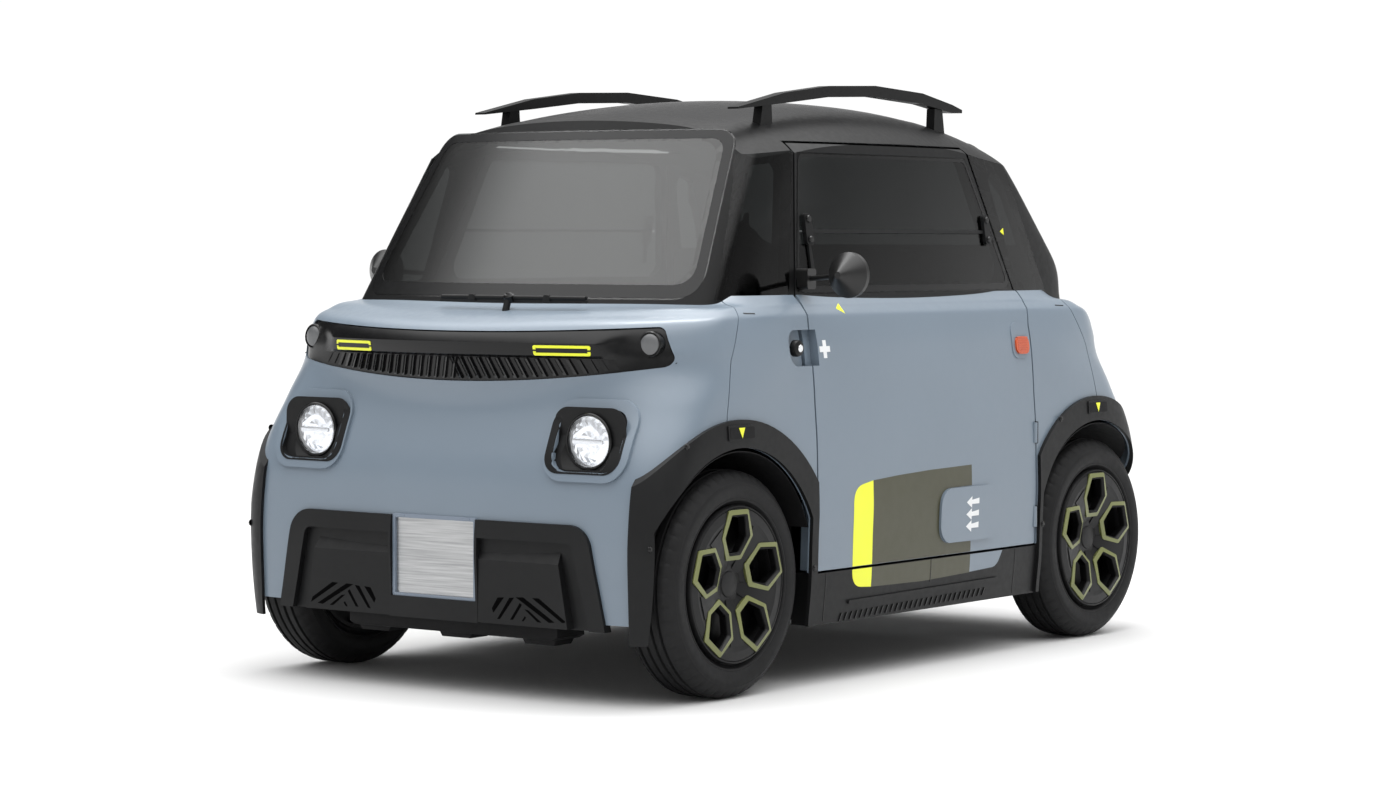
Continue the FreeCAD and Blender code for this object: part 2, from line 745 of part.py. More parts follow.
leaf = [(HINGE_X - 9.5, DR - 12), (HINGE_X - 2.5, DR - 12), (HINGE_X + 1.5, DR - 7), (HINGE_X + 1.5, DR - 2.5),
        (HINGE_X - 9.5, DR - 2.5)]
leaf = [V(x, y, 0) for x, y in leaf]
for z in (330, 560):
    knuckle = Part.Face(Part.makePolygon(leaf + [leaf[0]])).extrude(V(0, 0, 56))
    knuckle.translate(V(0, 0, z + 2))
    knuckles.append(knuckle)
    pin = Part.makeCylinder(2.2, 60, V(HINGE_X, DR, z))
    pin = pin.fuse(box(HINGE_X - 9.5, DR, z, HINGE_X + 0.5, DR + GAP / 2, z + 60))
    pins.append(pin)
panel = solids_over(panel.fuse(knuckles[0]).fuse(knuckles[1]), 1000)
frame = solids_over(frame, 1000)
add("door_hinges", Part.makeCompound(pins + [other_door(p) for p in pins]))
add("door_left_panel", panel)
add("door_left_frame", frame)
add("door_left_glass", glass)
add("door_left_mirror", mirror)
add("door_right_panel", other_door(panel))
add("door_right_frame", other_door(frame))
add("door_right_glass", other_door(glass))
mirror_right = mirror_x(mirror)
mirror_right.translate(V(1.6, 0, 0))
add("door_right_mirror", mirror_right)

# Underbody.
beams = []
for k, sx in enumerate((-1, 1)):
    beams.append(block("rail_%d" % k, "%d * dims.rail_x - dims.rail_wide / 2" % sx, "-dims.rail_end_y",
                       "dims.rail_low_z", "dims.rail_wide", "2 * dims.rail_end_y", "dims.rail_high"))
CROSS = ["-dims.rail_end_y", "dims.floor_front_y", "0", "560", "dims.rail_end_y - dims.cross_long"]
for k, y in enumerate(CROSS):
    beams.append(block("cross_%d" % k, "-dims.rail_x", y, "dims.rail_low_z", "2 * dims.rail_x",
                       "dims.cross_long", "dims.rail_high"))
for k, y in enumerate(("dims.floor_front_y + 15", "dims.floor_rear_y - 36")):
    beams.append(block("outrigger_%d" % k, "-dims.outrigger_x", y, "dims.rail_low_z",
                       "2 * dims.outrigger_x", "dims.cross_long", "dims.rail_high"))
for k, sx in enumerate((-1, 1)):
    for y in ("jack_front_y", "jack_rear_y"):
        beams.append(block("%s_%d" % (y[:-2], k), "%d * dims.rail_x - dims.jack_side / 2" % sx,
                           "dims.%s - dims.jack_side / 2" % y, "dims.rail_low_z - dims.jack_thick",
                           "dims.jack_side", "dims.jack_side", "dims.jack_thick + 5"))
add("chassis_frame", less("chassis_frame", joined("beams", beams), features["sills"]))

FLOOR_Z = "dims.rail_low_z + dims.rail_high"
floor = block("floor", "-dims.floor_half", "dims.floor_front_y", FLOOR_Z, "2 * dims.floor_half",
              "dims.floor_rear_y - dims.floor_front_y", "dims.sheet_thick")
front_wall = block("front_wall", "-dims.wall_half", "dims.floor_front_y", FLOOR_Z, "2 * dims.wall_half",
                   "dims.sheet_thick", "dims.front_wall_top - dims.rail_low_z - dims.rail_high")
shelf = block("shelf", "-dims.shelf_half", "dims.shelf_front_y", "dims.front_wall_top",
              "2 * dims.shelf_half", "dims.floor_front_y + dims.sheet_thick - dims.shelf_front_y",
              "dims.sheet_thick")
nose_wall = block("nose_wall", "-dims.nose_wall_half", "dims.shelf_front_y", "dims.front_wall_top",
                  "2 * dims.nose_wall_half", "dims.sheet_thick", "dims.nose_wall_top - dims.front_wall_top")
back_wall = block("back_wall", "-dims.wall_half", "dims.floor_rear_y - dims.sheet_thick", FLOOR_Z,
                  "2 * dims.wall_half", "dims.sheet_thick",
                  "dims.back_wall_top - dims.rail_low_z - dims.rail_high")
tub = joined("tub", [floor, front_wall, shelf, nose_wall, back_wall])
add("floor_tub", less("floor_tub", tub, features["sills"]))
add("battery_box", block("battery_box", "-dims.pack_wide / 2", "dims.pack_front_y",
                         FLOOR_Z + " + dims.sheet_thick", "dims.pack_wide", "dims.pack_long",
                         "dims.pack_high"))
add("motor_block", block("motor_block", "-dims.motor_wide / 2", "dims.motor_front_y", "dims.motor_low_z",
                         "dims.motor_wide", "dims.motor_long", "dims.motor_high"))


def rounded(name, base, radius, direction):
    """Rounds the straight edges of a bound box that run along a direction."""
    doc.recompute()
    obj = doc.addObject("Part::Fillet", name)
    obj.Base = base
    chosen = []
    for k, edge in enumerate(base.Shape.Edges):
        run = edge.tangentAt(edge.FirstParameter)
        if abs(abs(run.dot(direction)) - 1) < 1e-6:
            chosen.append((k + 1, radius, radius))
    obj.Edges = chosen
    return obj


seat_parts = []
for k, sx in enumerate((-1, 1)):
    left = "%d * dims.seat_x - dims.seat_wide / 2" % sx
    cushion = block("cushion_%d" % k, left, "dims.seat_front_y", "dims.seat_low_z", "dims.seat_wide",
                    "dims.seat_deep", "dims.seat_thick")
    rest = block("rest_%d" % k, left + " + 10", "dims.seat_back_y",
                 "dims.seat_low_z + dims.seat_thick", "dims.seat_wide - 20", "dims.seat_back_thick",
                 "dims.seat_back_high")
    soft_cushion = rounded("soft_cushion_%d" % k, cushion, size("seat_round"), V(0, 0, 1))
    soft_rest = rounded("soft_rest_%d" % k, rest, size("seat_round"), V(0, 1, 0))
    seat_parts.append(joined("seat_%d" % k, [soft_cushion, soft_rest]))
add("seats", grouped("seats", seat_parts))

HUB = V(size("steer_x"), size("steer_y"), size("steer_z"))
TILT = math.radians(60)
AIM = V(0, math.sin(TILT), math.cos(TILT))
dash = slab_x([(-900, 606), (-900, 850), (-640, 905), (-560, 880), (-560, 690), (-620, 670), (-620, 606)],
              -540, 540)
dash = dash.cut(Part.makeCylinder(size("column_radius") + size("column_play"), 320, HUB - AIM * 320, AIM))
add("dashboard", dash)
grip = doc.addObject("Part::Torus", "grip")
bind(grip, {"Radius1": "dims.steer_radius", "Radius2": "dims.grip_radius"})
spoke_wide = block("spoke_wide", "5 - dims.steer_radius", "-14", "-8", "2 * dims.steer_radius - 10", "28", "16")
spoke_low = block("spoke_low", "-14", "5 - dims.steer_radius", "-8", "28", "dims.steer_radius - 5", "16")
column = rod("column", "0", "0", "-dims.column_long", "dims.column_radius", "dims.column_long")
steer = joined("steering_wheel", [grip, spoke_wide, spoke_low, column])
steer.Placement.Rotation = FreeCAD.Rotation(V(1, 0, 0), -60)
bind(steer, {"Placement.Base.x": "dims.steer_x", "Placement.Base.y": "dims.steer_y",
             "Placement.Base.z": "dims.steer_z"})
add("steering_wheel", steer)
arm = Part.makeCylinder(6, 460, V(-160, -962, 968), V(1, 0, 0))
spindle = Part.makeCylinder(9, 60, V(60, -985, 920), V(0, 0.35, 1))
add("wiper", arm.fuse(spindle).cut(low_out))

# Wheels.
half = TYRE_W / 2
profile = [(RIM_R, -half + 22), (RIM_R + 12, -half + 19), (RIM_R + 22, -half + 5), (TYRE_R - 44, -half),
           (TYRE_R - 24, -half + 4), (TYRE_R - 10, -half + 14), (TYRE_R - 3, -half + 26), (TYRE_R, -half + 42)]
for groove in (-38, -13, 13, 38):
    profile = profile + [(TYRE_R, groove - 3), (TYRE_R - 7, groove - 2), (TYRE_R - 7, groove + 2),
                         (TYRE_R, groove + 3)]
tail_points = [(r, -x) for r, x in reversed(profile[:8])]
profile = profile[:8] + [q for q in profile[8:] if abs(q[1]) < half - 36] + tail_points
pts = [V(x, 0, r) for r, x in profile]
tyre = Part.Face(Part.makePolygon(pts + [pts[0]])).revolve(V(0, 0, 0), V(1, 0, 0), 360)
tyre = Part.Solid(tyre) if tyre.ShapeType != "Solid" else tyre
barrel = Part.makeCylinder(RIM_R, 120, V(-60, 0, 0), V(1, 0, 0))
barrel = barrel.cut(Part.makeCylinder(RIM_R - 10, 110, V(-61, 0, 0), V(1, 0, 0)))
barrel = barrel.cut(Part.makeCylinder(RIM_R - 22, 200, V(0, 0, 0), V(1, 0, 0)))
web = Part.makeCylinder(RIM_R - 9, 12, V(4, 0, 0), V(1, 0, 0))
cover_r = size("cover_radius")
dish = [(0, 48), (46, 50), (70, 62), (cover_r - 30, 78), (cover_r - 8, 76), (cover_r, 66), (cover_r, 60), (0, 36)]
pts = [V(x, 0, r) for r, x in dish]
cover = Part.Face(Part.makePolygon(pts + [pts[0]])).revolve(V(0, 0, 0), V(1, 0, 0), 360)
cover = cover.Solids[0] if cover.Solids else Part.Solid(cover)


def hexagon(sizes, turn, x0, x1):
    """One six-sided opening of the wheel cover, given as (radius share, half width share)."""
    side = [(r * cover_r, w * cover_r) for r, w in sizes]
    ring_pts = side + [(r, -w) for r, w in reversed(side)]
    pts = []
    for r, w in ring_pts:
        pts.append(V(x0, w * math.cos(turn) + r * math.sin(turn), r * math.cos(turn) - w * math.sin(turn)))
    face = Part.Face(Part.makePolygon(pts + [pts[0]]))
    return face.extrude(V(x1 - x0, 0, 0))


for k in range(5):
    turn = math.radians(72 * k)
    cover = cover.cut(hexagon([(0.86, 0.15), (0.60, 0.235), (0.395, 0.115)], turn, 20, 100))
    slot_cut = hexagon([(0.80, 0.13), (0.60, 0.19), (0.44, 0.10)], turn, 0, 30)
    web = web.cut(slot_cut)
core = Part.makeCylinder(46, 46, V(4, 0, 0), V(1, 0, 0))
disc_part = barrel.fuse(web).fuse(core).fuse(cover)
disc_part = disc_part.cut(Part.makeCylinder(size("stub_radius") + size("stub_play"), 116, V(-70, 0, 0), V(1, 0, 0)))


def placed(shape, x, y, flip):
    out = shape.copy()
    if flip:
        out.rotate(V(0, 0, 0), V(0, 0, 1), 180)
    out.translate(V(x, y, AZ))
    return out


for label, x, y, flip in (("front_left", WX, FY, False), ("front_right", -WX, FY, True),
                          ("rear_left", WX, RY, False), ("rear_right", -WX, RY, True)):
    add("tyre_" + label, placed(tyre, x, y, flip))
    add("wheel_" + label, placed(disc_part, x, y, flip))

hub = rod("hub", "dims.wheel_centre_x - 50", "dims.axle_front_y", "dims.axle_height", "dims.stub_radius",
          "95", (1, 0, 0))
flange = rod("flange", "dims.wheel_centre_x - 58", "dims.axle_front_y", "dims.axle_height", "60", "10",
             (1, 0, 0))
upright = block("upright", "dims.kingpin_x - 15", "dims.axle_front_y - 30", "dims.axle_height - 70",
                "30", "60", "140")
steer_arm = block("steer_arm", "dims.kingpin_x - 15", "dims.axle_front_y + 20", "dims.axle_height - 50",
                  "18", "90", "14")
pin_bore = rod("pin_bore", "dims.kingpin_x", "dims.axle_front_y", "dims.axle_height - 100",
               "dims.kingpin_radius + dims.kingpin_play", "200")
knuckle = less("knuckle_left", joined("knuckle_body", [hub, flange, upright, steer_arm]), pin_bore)
add("knuckle_left", knuckle)
add("knuckle_right", flipped("knuckle_right", knuckle))

low_arm = block("low_arm", "dims.rail_x + dims.rail_wide / 2 + 5", "dims.axle_front_y - 20",
                "dims.axle_height - 88.5", "dims.kingpin_x - dims.rail_x - dims.rail_wide / 2 + 10",
                "40", "18")
top_arm = block("top_arm", "dims.strut_x - 20", "dims.axle_front_y - 16", "dims.axle_height + 70.5",
                "dims.kingpin_x - dims.strut_x + 35", "32", "14")
pin = rod("kingpin", "dims.kingpin_x", "dims.axle_front_y", "dims.axle_height - 73.5",
          "dims.kingpin_radius", "150")
strut = rod("strut", "dims.strut_x", "dims.axle_front_y", "dims.axle_height - 83.5", "dims.strut_radius",
            "dims.front_wall_top - dims.axle_height + 83.5")
side = joined("suspension_side", [low_arm, top_arm, pin, strut])
cross = block("cross_plate", "-dims.rail_x - dims.rail_wide / 2 - 5", "dims.axle_front_y - 60", FLOOR_Z,
              "2 * dims.rail_x + dims.rail_wide + 10", "120", "14")
bracket = block("bracket", "dims.rail_x + dims.rail_wide / 2", "dims.axle_front_y - 30",
                "dims.axle_height - 88.5", "5", "60", "58")
bracket_right = flipped("bracket_right", bracket)
susp = joined("suspension_front", [cross, side, flipped("suspension_right", side), bracket, bracket_right])
add("suspension_front", susp)

beam = block("axle_beam", "-dims.axle_half", "dims.axle_rear_y - dims.axle_square / 2",
             "dims.axle_height - dims.axle_square / 2", "2 * dims.axle_half", "dims.axle_square",
             "dims.axle_square")
axle_parts = [beam]
for k, sx in enumerate((-1, 1)):
    stub = rod("stub_%d" % k, "%d * (dims.axle_half - 5)" % sx, "dims.axle_rear_y", "dims.axle_height",
               "dims.stub_radius", "130", (sx, 0, 0))
    trail = block("trail_%d" % k, "%d * dims.rail_x - 20" % sx, "dims.floor_rear_y + 4", FLOOR_Z, "40",
                  "dims.axle_rear_y - dims.floor_rear_y - 4", "42")
    axle_parts = axle_parts + [stub, trail]
add("rear_axle", joined("rear_axle", axle_parts))

# Document objects and files.
os.makedirs("parts", exist_ok=True)
doc.recompute()
for obj in doc.Objects:
    if "Invalid" in obj.State or "Error" in obj.State:
        raise RuntimeError("bad state: " + obj.Name)
for name in nodes:
    shape = features[name].Shape
    if shape.isNull() or not shape.isValid():
        print("NOT VALID:", name)
    print("%-22s solids %d faces %d volume %.0f" % (name, len(shape.Solids), len(shape.Faces), shape.Volume))
    shape.exportStep("parts/" + name + ".step")
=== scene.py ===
import json
import math

import bmesh
import bpy
from mathutils import Matrix, Vector
from mathutils.bvhtree import BVHTree


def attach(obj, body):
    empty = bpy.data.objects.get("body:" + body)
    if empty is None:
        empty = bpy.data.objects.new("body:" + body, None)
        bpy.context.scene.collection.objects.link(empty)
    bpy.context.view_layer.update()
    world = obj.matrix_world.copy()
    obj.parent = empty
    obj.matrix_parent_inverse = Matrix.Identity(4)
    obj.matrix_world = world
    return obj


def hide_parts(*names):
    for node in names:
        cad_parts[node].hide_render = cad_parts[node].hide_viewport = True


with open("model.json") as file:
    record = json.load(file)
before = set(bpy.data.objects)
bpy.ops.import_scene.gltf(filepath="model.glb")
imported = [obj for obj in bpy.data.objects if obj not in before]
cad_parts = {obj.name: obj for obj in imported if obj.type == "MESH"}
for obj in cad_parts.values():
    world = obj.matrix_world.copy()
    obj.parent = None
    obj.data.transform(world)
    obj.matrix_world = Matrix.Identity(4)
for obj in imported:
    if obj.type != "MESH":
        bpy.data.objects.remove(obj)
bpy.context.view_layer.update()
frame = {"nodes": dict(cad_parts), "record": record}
N = frame["nodes"]

# Places that several pieces share, in metres. The doors are one moulding, each turned half way round:
# what lies at y on the left door lies at TURN_SUM - y on the right one.
SIDES = ((1, "left"), (-1, "right"))
ENDS = (("front", (0, 1, 0), -1), ("rear", (0, -1, 0), 1))
AXLES = {"front": -0.839, "rear": 0.889}
AXLE_Z = 0.2785
TURN_SUM = 0.037
RAY_RUN = 3

# Camera, placed by the fit to the photograph.
CAMERA_AT = Vector((5.677458, -7.825810, 1.117567))
YAW, PITCH, ROLL = (math.radians(a) for a in (36.239, 2.509, 0.172))
back = Vector((math.sin(YAW) * math.cos(PITCH), -math.cos(YAW) * math.cos(PITCH), math.sin(PITCH)))
right = Vector((0, 0, 1)).cross(back).normalized()
up = back.cross(right)
cam_right = math.cos(ROLL) * right + math.sin(ROLL) * up
cam_up = -math.sin(ROLL) * right + math.cos(ROLL) * up
cam_data = bpy.data.cameras.new("camera")
cam_data.sensor_width = 36.0
cam_data.lens = 91.53
camera = bpy.data.objects.new("camera", cam_data)
bpy.context.scene.collection.objects.link(camera)
camera.matrix_world = Matrix.Translation(CAMERA_AT) @ Matrix((cam_right, cam_up, back)).transposed().to_4x4()
bpy.context.scene.camera = camera


# Materials.
def material(name, color, rough, **sockets):
    """A principled material; returns it with its tree and shader."""
    mat = bpy.data.materials.new(name)
    mat.use_nodes = True
    tree = mat.node_tree
    shader = tree.nodes["Principled BSDF"]
    shader.inputs["Base Color"].default_value = (*color, 1.0)
    shader.inputs["Roughness"].default_value = rough
    for key, value in sockets.items():
        shader.inputs[key.replace("_", " ")].default_value = value
    return mat, tree, shader


def noise(tree, scale, detail=4.0, rough=0.5, stretch=None):
    made = tree.nodes.new("ShaderNodeTexNoise")
    made.inputs["Scale"].default_value = scale
    made.inputs["Detail"].default_value = detail
    made.inputs["Roughness"].default_value = rough
    where = tree.nodes.new("ShaderNodeTexCoord").outputs["Object"]
    if stretch:
        mapping = tree.nodes.new("ShaderNodeMapping")
        mapping.inputs["Scale"].default_value = stretch
        tree.links.new(where, mapping.inputs["Vector"])
        where = mapping.outputs["Vector"]
    tree.links.new(where, made.inputs["Vector"])
    return made.outputs["Fac"]


def bumped(tree, shader, height, strength, distance=0.001):
    bump = tree.nodes.new("ShaderNodeBump")
    bump.inputs["Strength"].default_value = strength
    bump.inputs["Distance"].default_value = distance
    tree.links.new(height, bump.inputs["Height"])
    tree.links.new(bump.outputs["Normal"], shader.inputs["Normal"])


def ranged(tree, value, low, high):
    made = tree.nodes.new("ShaderNodeMapRange")
    for key, number in (("From Min", 0.3), ("From Max", 0.7), ("To Min", low), ("To Max", high)):
        made.inputs[key].default_value = number
    tree.links.new(value, made.inputs["Value"])
    return made.outputs["Result"]


def tinted(tree, shader, value, dark, light):
    ramp = tree.nodes.new("ShaderNodeValToRGB")
    for element, place, color in zip(ramp.color_ramp.elements, (0.3, 0.7), (dark, light)):
        element.position = place
        element.color = (*color, 1)
    tree.links.new(value, ramp.inputs["Fac"])
    tree.links.new(ramp.outputs["Color"], shader.inputs["Base Color"])


def paint(name, color, rough=0.34, coat=0.25):
    """Smooth coloured plastic with a soft sheen."""
    mat, tree, shader = material(name, color, rough, Coat_Weight=coat, Coat_Roughness=0.16)
    tinted(tree, shader, noise(tree, 3.0, 3.0), [c * 0.98 for c in color], [c * 1.02 for c in color])
    tree.links.new(ranged(tree, noise(tree, 40.0), rough - 0.03, rough + 0.04), shader.inputs["Roughness"])
    bumped(tree, shader, noise(tree, 1400.0, 2.0), 0.04, 0.0003)
    return mat


def grained(name, color, rough=0.55, grain=900.0, depth=0.25, level=0.32):
    """Moulded plastic, rubber or cloth with a fine grain."""
    mat, tree, shader = material(name, color, rough, Specular_IOR_Level=level)
    tinted(tree, shader, noise(tree, 6.0, 3.0), [c * 0.85 for c in color], [c * 1.15 for c in color])
    tree.links.new(ranged(tree, noise(tree, 60.0), rough - 0.05, rough + 0.05), shader.inputs["Roughness"])
    bumped(tree, shader, noise(tree, grain, 3.0, 0.6), depth, 0.0005)
    return mat


def metal(name, dark, light, rough, stretch=None, scale=220.0, depth=0.2):
    """Bare or plated metal; stretch draws its grain out into brushed lines."""
    mat, tree, shader = material(name, light, rough, Metallic=0.95)
    grain = noise(tree, scale, 3.0, 0.5, stretch)
    tinted(tree, shader, grain, dark, light)
    bumped(tree, shader, grain, depth)
    return mat


def glass(name, color, bend=1.45):
    """Clear glass with a tint; bend is its index of refraction."""
    mat, tree, shader = material(name, color, 0.0, IOR=bend, Transmission_Weight=1.0)
    tinted(tree, shader, noise(tree, 1.5, 2.0), [c * 0.97 for c in color], [c * 1.02 for c in color])
    return mat


BODY = paint("body_blue_grey", (0.148, 0.187, 0.230))
OLIVE = paint("door_olive", (0.040, 0.039, 0.0165), 0.42, 0.1)
YELLOW = paint("acid_yellow", (0.78, 0.82, 0.024), 0.4, 0.1)
WHITE = paint("mark_white", (0.72, 0.73, 0.74), 0.4, 0.1)
ORANGE = paint("marker_orange", (0.52, 0.075, 0.014), 0.3, 0.3)
BLACK = grained("trim_black", (0.0075, 0.0077, 0.0081), 0.44, 900.0, 0.06, 0.2)
ROOF = grained("roof_satin", (0.0052, 0.0053, 0.0055), 0.36, 900.0, 0.02, 0.13)
GLOSS = grained("band_black", (0.0045, 0.0046, 0.0049), 0.2, 500.0, 0.02, 0.3)
BOWL = grained("bowl_black", (0.0065, 0.0066, 0.007), 0.42, 700.0, 0.03, 0.2)
# Near-black matte for the vent slots: painted shade standing in for the dark inside of the openings.
SLOT_SHADE = grained("painted_slot_shade", (0.0012, 0.0012, 0.0013), 0.9, 900.0, 0.02, 0.03)
UNDER = grained("under_black", (0.008, 0.008, 0.0085), 0.6, 900.0, 0.2, 0.15)
SEAT = grained("seat_cloth", (0.016, 0.0165, 0.018), 0.85, 350.0, 0.5)
RUBBER = grained("tyre_rubber", (0.0085, 0.0085, 0.009), 0.62, 260.0, 0.3, 0.22)
WHEEL = grained("wheel_black", (0.0068, 0.0068, 0.0072), 0.4, 500.0, 0.06, 0.22)
RIM_OLIVE = paint("rim_olive", (0.150, 0.163, 0.055), 0.42, 0.1)
MIRROR_BACK = grained("mirror_black", (0.009, 0.009, 0.009), 0.34, 500.0, 0.04, 0.45)
STEEL = metal("cast_steel", (0.09, 0.09, 0.095), (0.15, 0.15, 0.155), 0.5, None, 60.0)
PLATE = metal("brushed_plate", (0.34, 0.345, 0.35), (0.52, 0.525, 0.53), 0.38, (0.03, 1.0, 1.0))
CHROME = metal("bright_metal", (0.7, 0.71, 0.72), (0.88, 0.89, 0.9), 0.14, None, 300.0, 0.03)
GLASS = glass("tinted_glass", (0.10, 0.106, 0.106), 1.3)
SCREEN_GLASS = glass("screen_glass", (0.20, 0.208, 0.206), 1.6)
ROOF_GLASS = grained("roof_glass_black", (0.004, 0.004, 0.0045), 0.3, 300.0, 0.01, 0.12)
LENS = glass("lamp_lens", (0.97, 0.98, 1.0))
CORNER = grained("corner_lens", (0.11, 0.113, 0.117), 0.2, 260.0, 0.35, 0.6)
FRAME_BLUE = paint("frame_blue", (0.150, 0.185, 0.235), 0.3, 0.2)
SCREEN = grained("display_black", (0.004, 0.004, 0.0045), 0.12, 200.0, 0.01, 0.5)
BEAM = metal("beam_mirror", (0.80, 0.82, 0.84), (0.97, 0.98, 1.0), 0.18, None, 240.0, 0.12)
beam_shader = BEAM.node_tree.nodes["Principled BSDF"]
beam_shader.inputs["Emission Color"].default_value = (0.97, 0.98, 1.0, 1)
beam_shader.inputs["Emission Strength"].default_value = 0.16
TAIL = metal("tail_mirror", (0.55, 0.02, 0.02), (0.70, 0.035, 0.03), 0.22, None, 240.0, 0.12)

SLOT_LOOK = {
    "skin": BODY, "dark": BLACK, "lamp": LENS, "glass": GLASS, "roofglass": ROOF_GLASS, "plate": PLATE,
    "frame": UNDER, "steel": STEEL, "tyre": RUBBER, "wheel": WHEEL, "seat": SEAT, "block": UNDER,
    "mirror": MIRROR_BACK,
}
NODE_LOOK = {
    "roof_shell": ROOF, "roof_rails": ROOF, "front_pillars": ROOF, "rear_pillars": ROOF,
    "windscreen": SCREEN_GLASS, "lamp_band_front": GLOSS, "lamp_band_rear": GLOSS, "floor_tub": UNDER,
    "dashboard": BLACK,
}
slots = {entry["node"]: entry["material_slot"] for entry in frame["record"]["subparts"]}
for name, obj in N.items():
    obj.data.materials.clear()
    obj.data.materials.append(NODE_LOOK.get(name, SLOT_LOOK[slots[name]]))


# Making pieces.
def piece(name, verts, faces, look, body="body", smooth=None):
    """A mesh piece that rides on a body, with the given look as its material."""
    mesh = bpy.data.meshes.new(name)
    mesh.from_pydata([tuple(v) for v in verts], [], faces)
    bm = bmesh.new()
    bm.from_mesh(mesh)
    bmesh.ops.recalc_face_normals(bm, faces=bm.faces)
    bm.to_mesh(mesh)
    bm.free()
    obj = bpy.data.objects.new(name, mesh)
    bpy.context.scene.collection.objects.link(obj)
    mesh.materials.append(look)
    if smooth is not None:
        mesh.shade_smooth()
        mesh.set_sharp_from_angle(angle=math.radians(smooth))
    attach(obj, body)
    return obj


def tree_of(*names):
    """A ray-cast tree of CAD nodes, in the frame."""
    verts = []
    faces = []
    for name in names:
        obj = N[name]
        start = len(verts)
        verts.extend(obj.matrix_world @ v.co for v in obj.data.vertices)
        faces.extend([start + i for i in p.vertices] for p in obj.data.polygons)
    return BVHTree.FromPolygons(verts, faces)


def rounded(points, radius, steps=6):
    """A closed outline with its corners rounded; radius is one value or one for each corner."""
    count = len(points)
    radii = radius if isinstance(radius, (list, tuple)) else [radius] * count
    out = []
    for k in range(count):
        p = Vector(points[k])
        a = (Vector(points[k - 1]) - p)
        b = (Vector(points[(k + 1) % count]) - p)
        if radii[k] <= 0:
            out.append(tuple(p))
            continue
        half = a.angle(b) / 2
        run = min(radii[k] / math.tan(half), a.length * 0.49, b.length * 0.49)
        start = p + a.normalized() * run
        end = p + b.normalized() * run
        for i in range(steps + 1):
            t = i / steps
            out.append(tuple((1 - t) ** 2 * start + 2 * t * (1 - t) * p + t * t * end))
    return out


def wrap(rows, loop, rows_closed=True, loop_closed=True):
    """Quads between rows of points, each row with as many points as loop says."""
    faces = []
    for k in range(rows if rows_closed else rows - 1):
        n = (k + 1) % rows
        for i in range(loop if loop_closed else loop - 1):
            j = (i + 1) % loop
            faces.append([k * loop + i, k * loop + j, n * loop + j, n * loop + i])
    return faces


def flat_point(across, u, z):
    """A point of an outline: u runs along y or x, whichever across names."""
    p = Vector((0, 0, z))
    p[across] = u
    return p


def gridded(outline, across, cell, folds=()):
    """A flat face of the outline, cut at the folds' heights and into cells both ways."""
    bm = bmesh.new()
    bm.faces.new([bm.verts.new(flat_point(across, u, z)) for u, z in outline])
    cuts = [(2, z) for z in folds]
    for axis in (across, 2):
        low = min(v.co[axis] for v in bm.verts)
        high = max(v.co[axis] for v in bm.verts)
        cuts.extend((axis, low + k * cell) for k in range(1, int((high - low) / cell) + 1))
    for axis, at in cuts:
        place = Vector((0, 0, 0))
        place[axis] = at
        normal = Vector((0, 0, 0))
        normal[axis] = 1
        bmesh.ops.bisect_plane(bm, geom=bm.verts[:] + bm.edges[:] + bm.faces[:], plane_co=place, plane_no=normal)
    return bm


def plated(name, bm, tops, drop, look, body, smooth):
    """A closed plate from a cut face, its top points and the step from them to its back."""
    count = len(tops)
    faces = [[v.index for v in f.verts] for f in bm.faces]
    rim = [[v.index for v in e.verts] for e in bm.edges if len(e.link_faces) == 1]
    bm.free()
    verts = tops + [p + drop for p in tops]
    faces = faces + [[i + count for i in reversed(f)] for f in faces]
    faces = faces + [[a, b, b + count, a + count] for a, b in rim]
    return piece(name, verts, faces, look, body, smooth)


def laid(name, outline, tree, way, look, body="body", lift=0.0006, sink=0.0006, cell=0.02, smooth=40):
    """A thin plate that follows a surface; the outline is in the plane square to way, (y, z) or (x, z)."""
    across = 0 if way[1] else 1
    bm = gridded(outline, across, cell)
    bmesh.ops.triangulate(bm, faces=bm.faces[:])
    bm.verts.index_update()
    bm.verts.ensure_lookup_table()
    normal = Vector(way)
    tops = []
    for v in bm.verts:
        hit = tree.ray_cast(v.co - normal * RAY_RUN, normal)[0]
        if hit is None:
            hit = tree.find_nearest(v.co + normal * tops[-1].dot(normal) if tops else v.co)[0]
            hit = Vector((hit.x if across else v.co.x, v.co.y if across else hit.y, v.co.z))
        tops.append(hit - normal * lift)
    return plated(name, bm, tops, normal * (lift + sink), look, body, smooth)


def lathe(name, profile, centre, axis, steps, look, body="body", closed=False, smooth=32):
    """Turns (radius, height) points round an axis through a centre."""
    axis = Vector(axis)
    side = axis.orthogonal().normalized()
    other = axis.cross(side)
    verts = []
    count = len(profile)
    for k in range(steps):
        t = 2 * math.pi * k / steps
        ray = side * math.cos(t) + other * math.sin(t)
        verts.extend(Vector(centre) + ray * r + axis * h for r, h in profile)
    faces = wrap(steps, count, True, closed)
    if not closed:
        faces.append([k * count for k in range(steps)])
        faces.append([k * count + count - 1 for k in reversed(range(steps))])
    obj = piece(name, verts, faces, look, body, smooth)
    bm = bmesh.new()
    bm.from_mesh(obj.data)
    bmesh.ops.remove_doubles(bm, verts=bm.verts, dist=1e-6)
    bmesh.ops.dissolve_degenerate(bm, edges=bm.edges, dist=1e-7)
    bmesh.ops.recalc_face_normals(bm, faces=bm.faces)
    bm.to_mesh(obj.data)
    bm.free()
    return obj


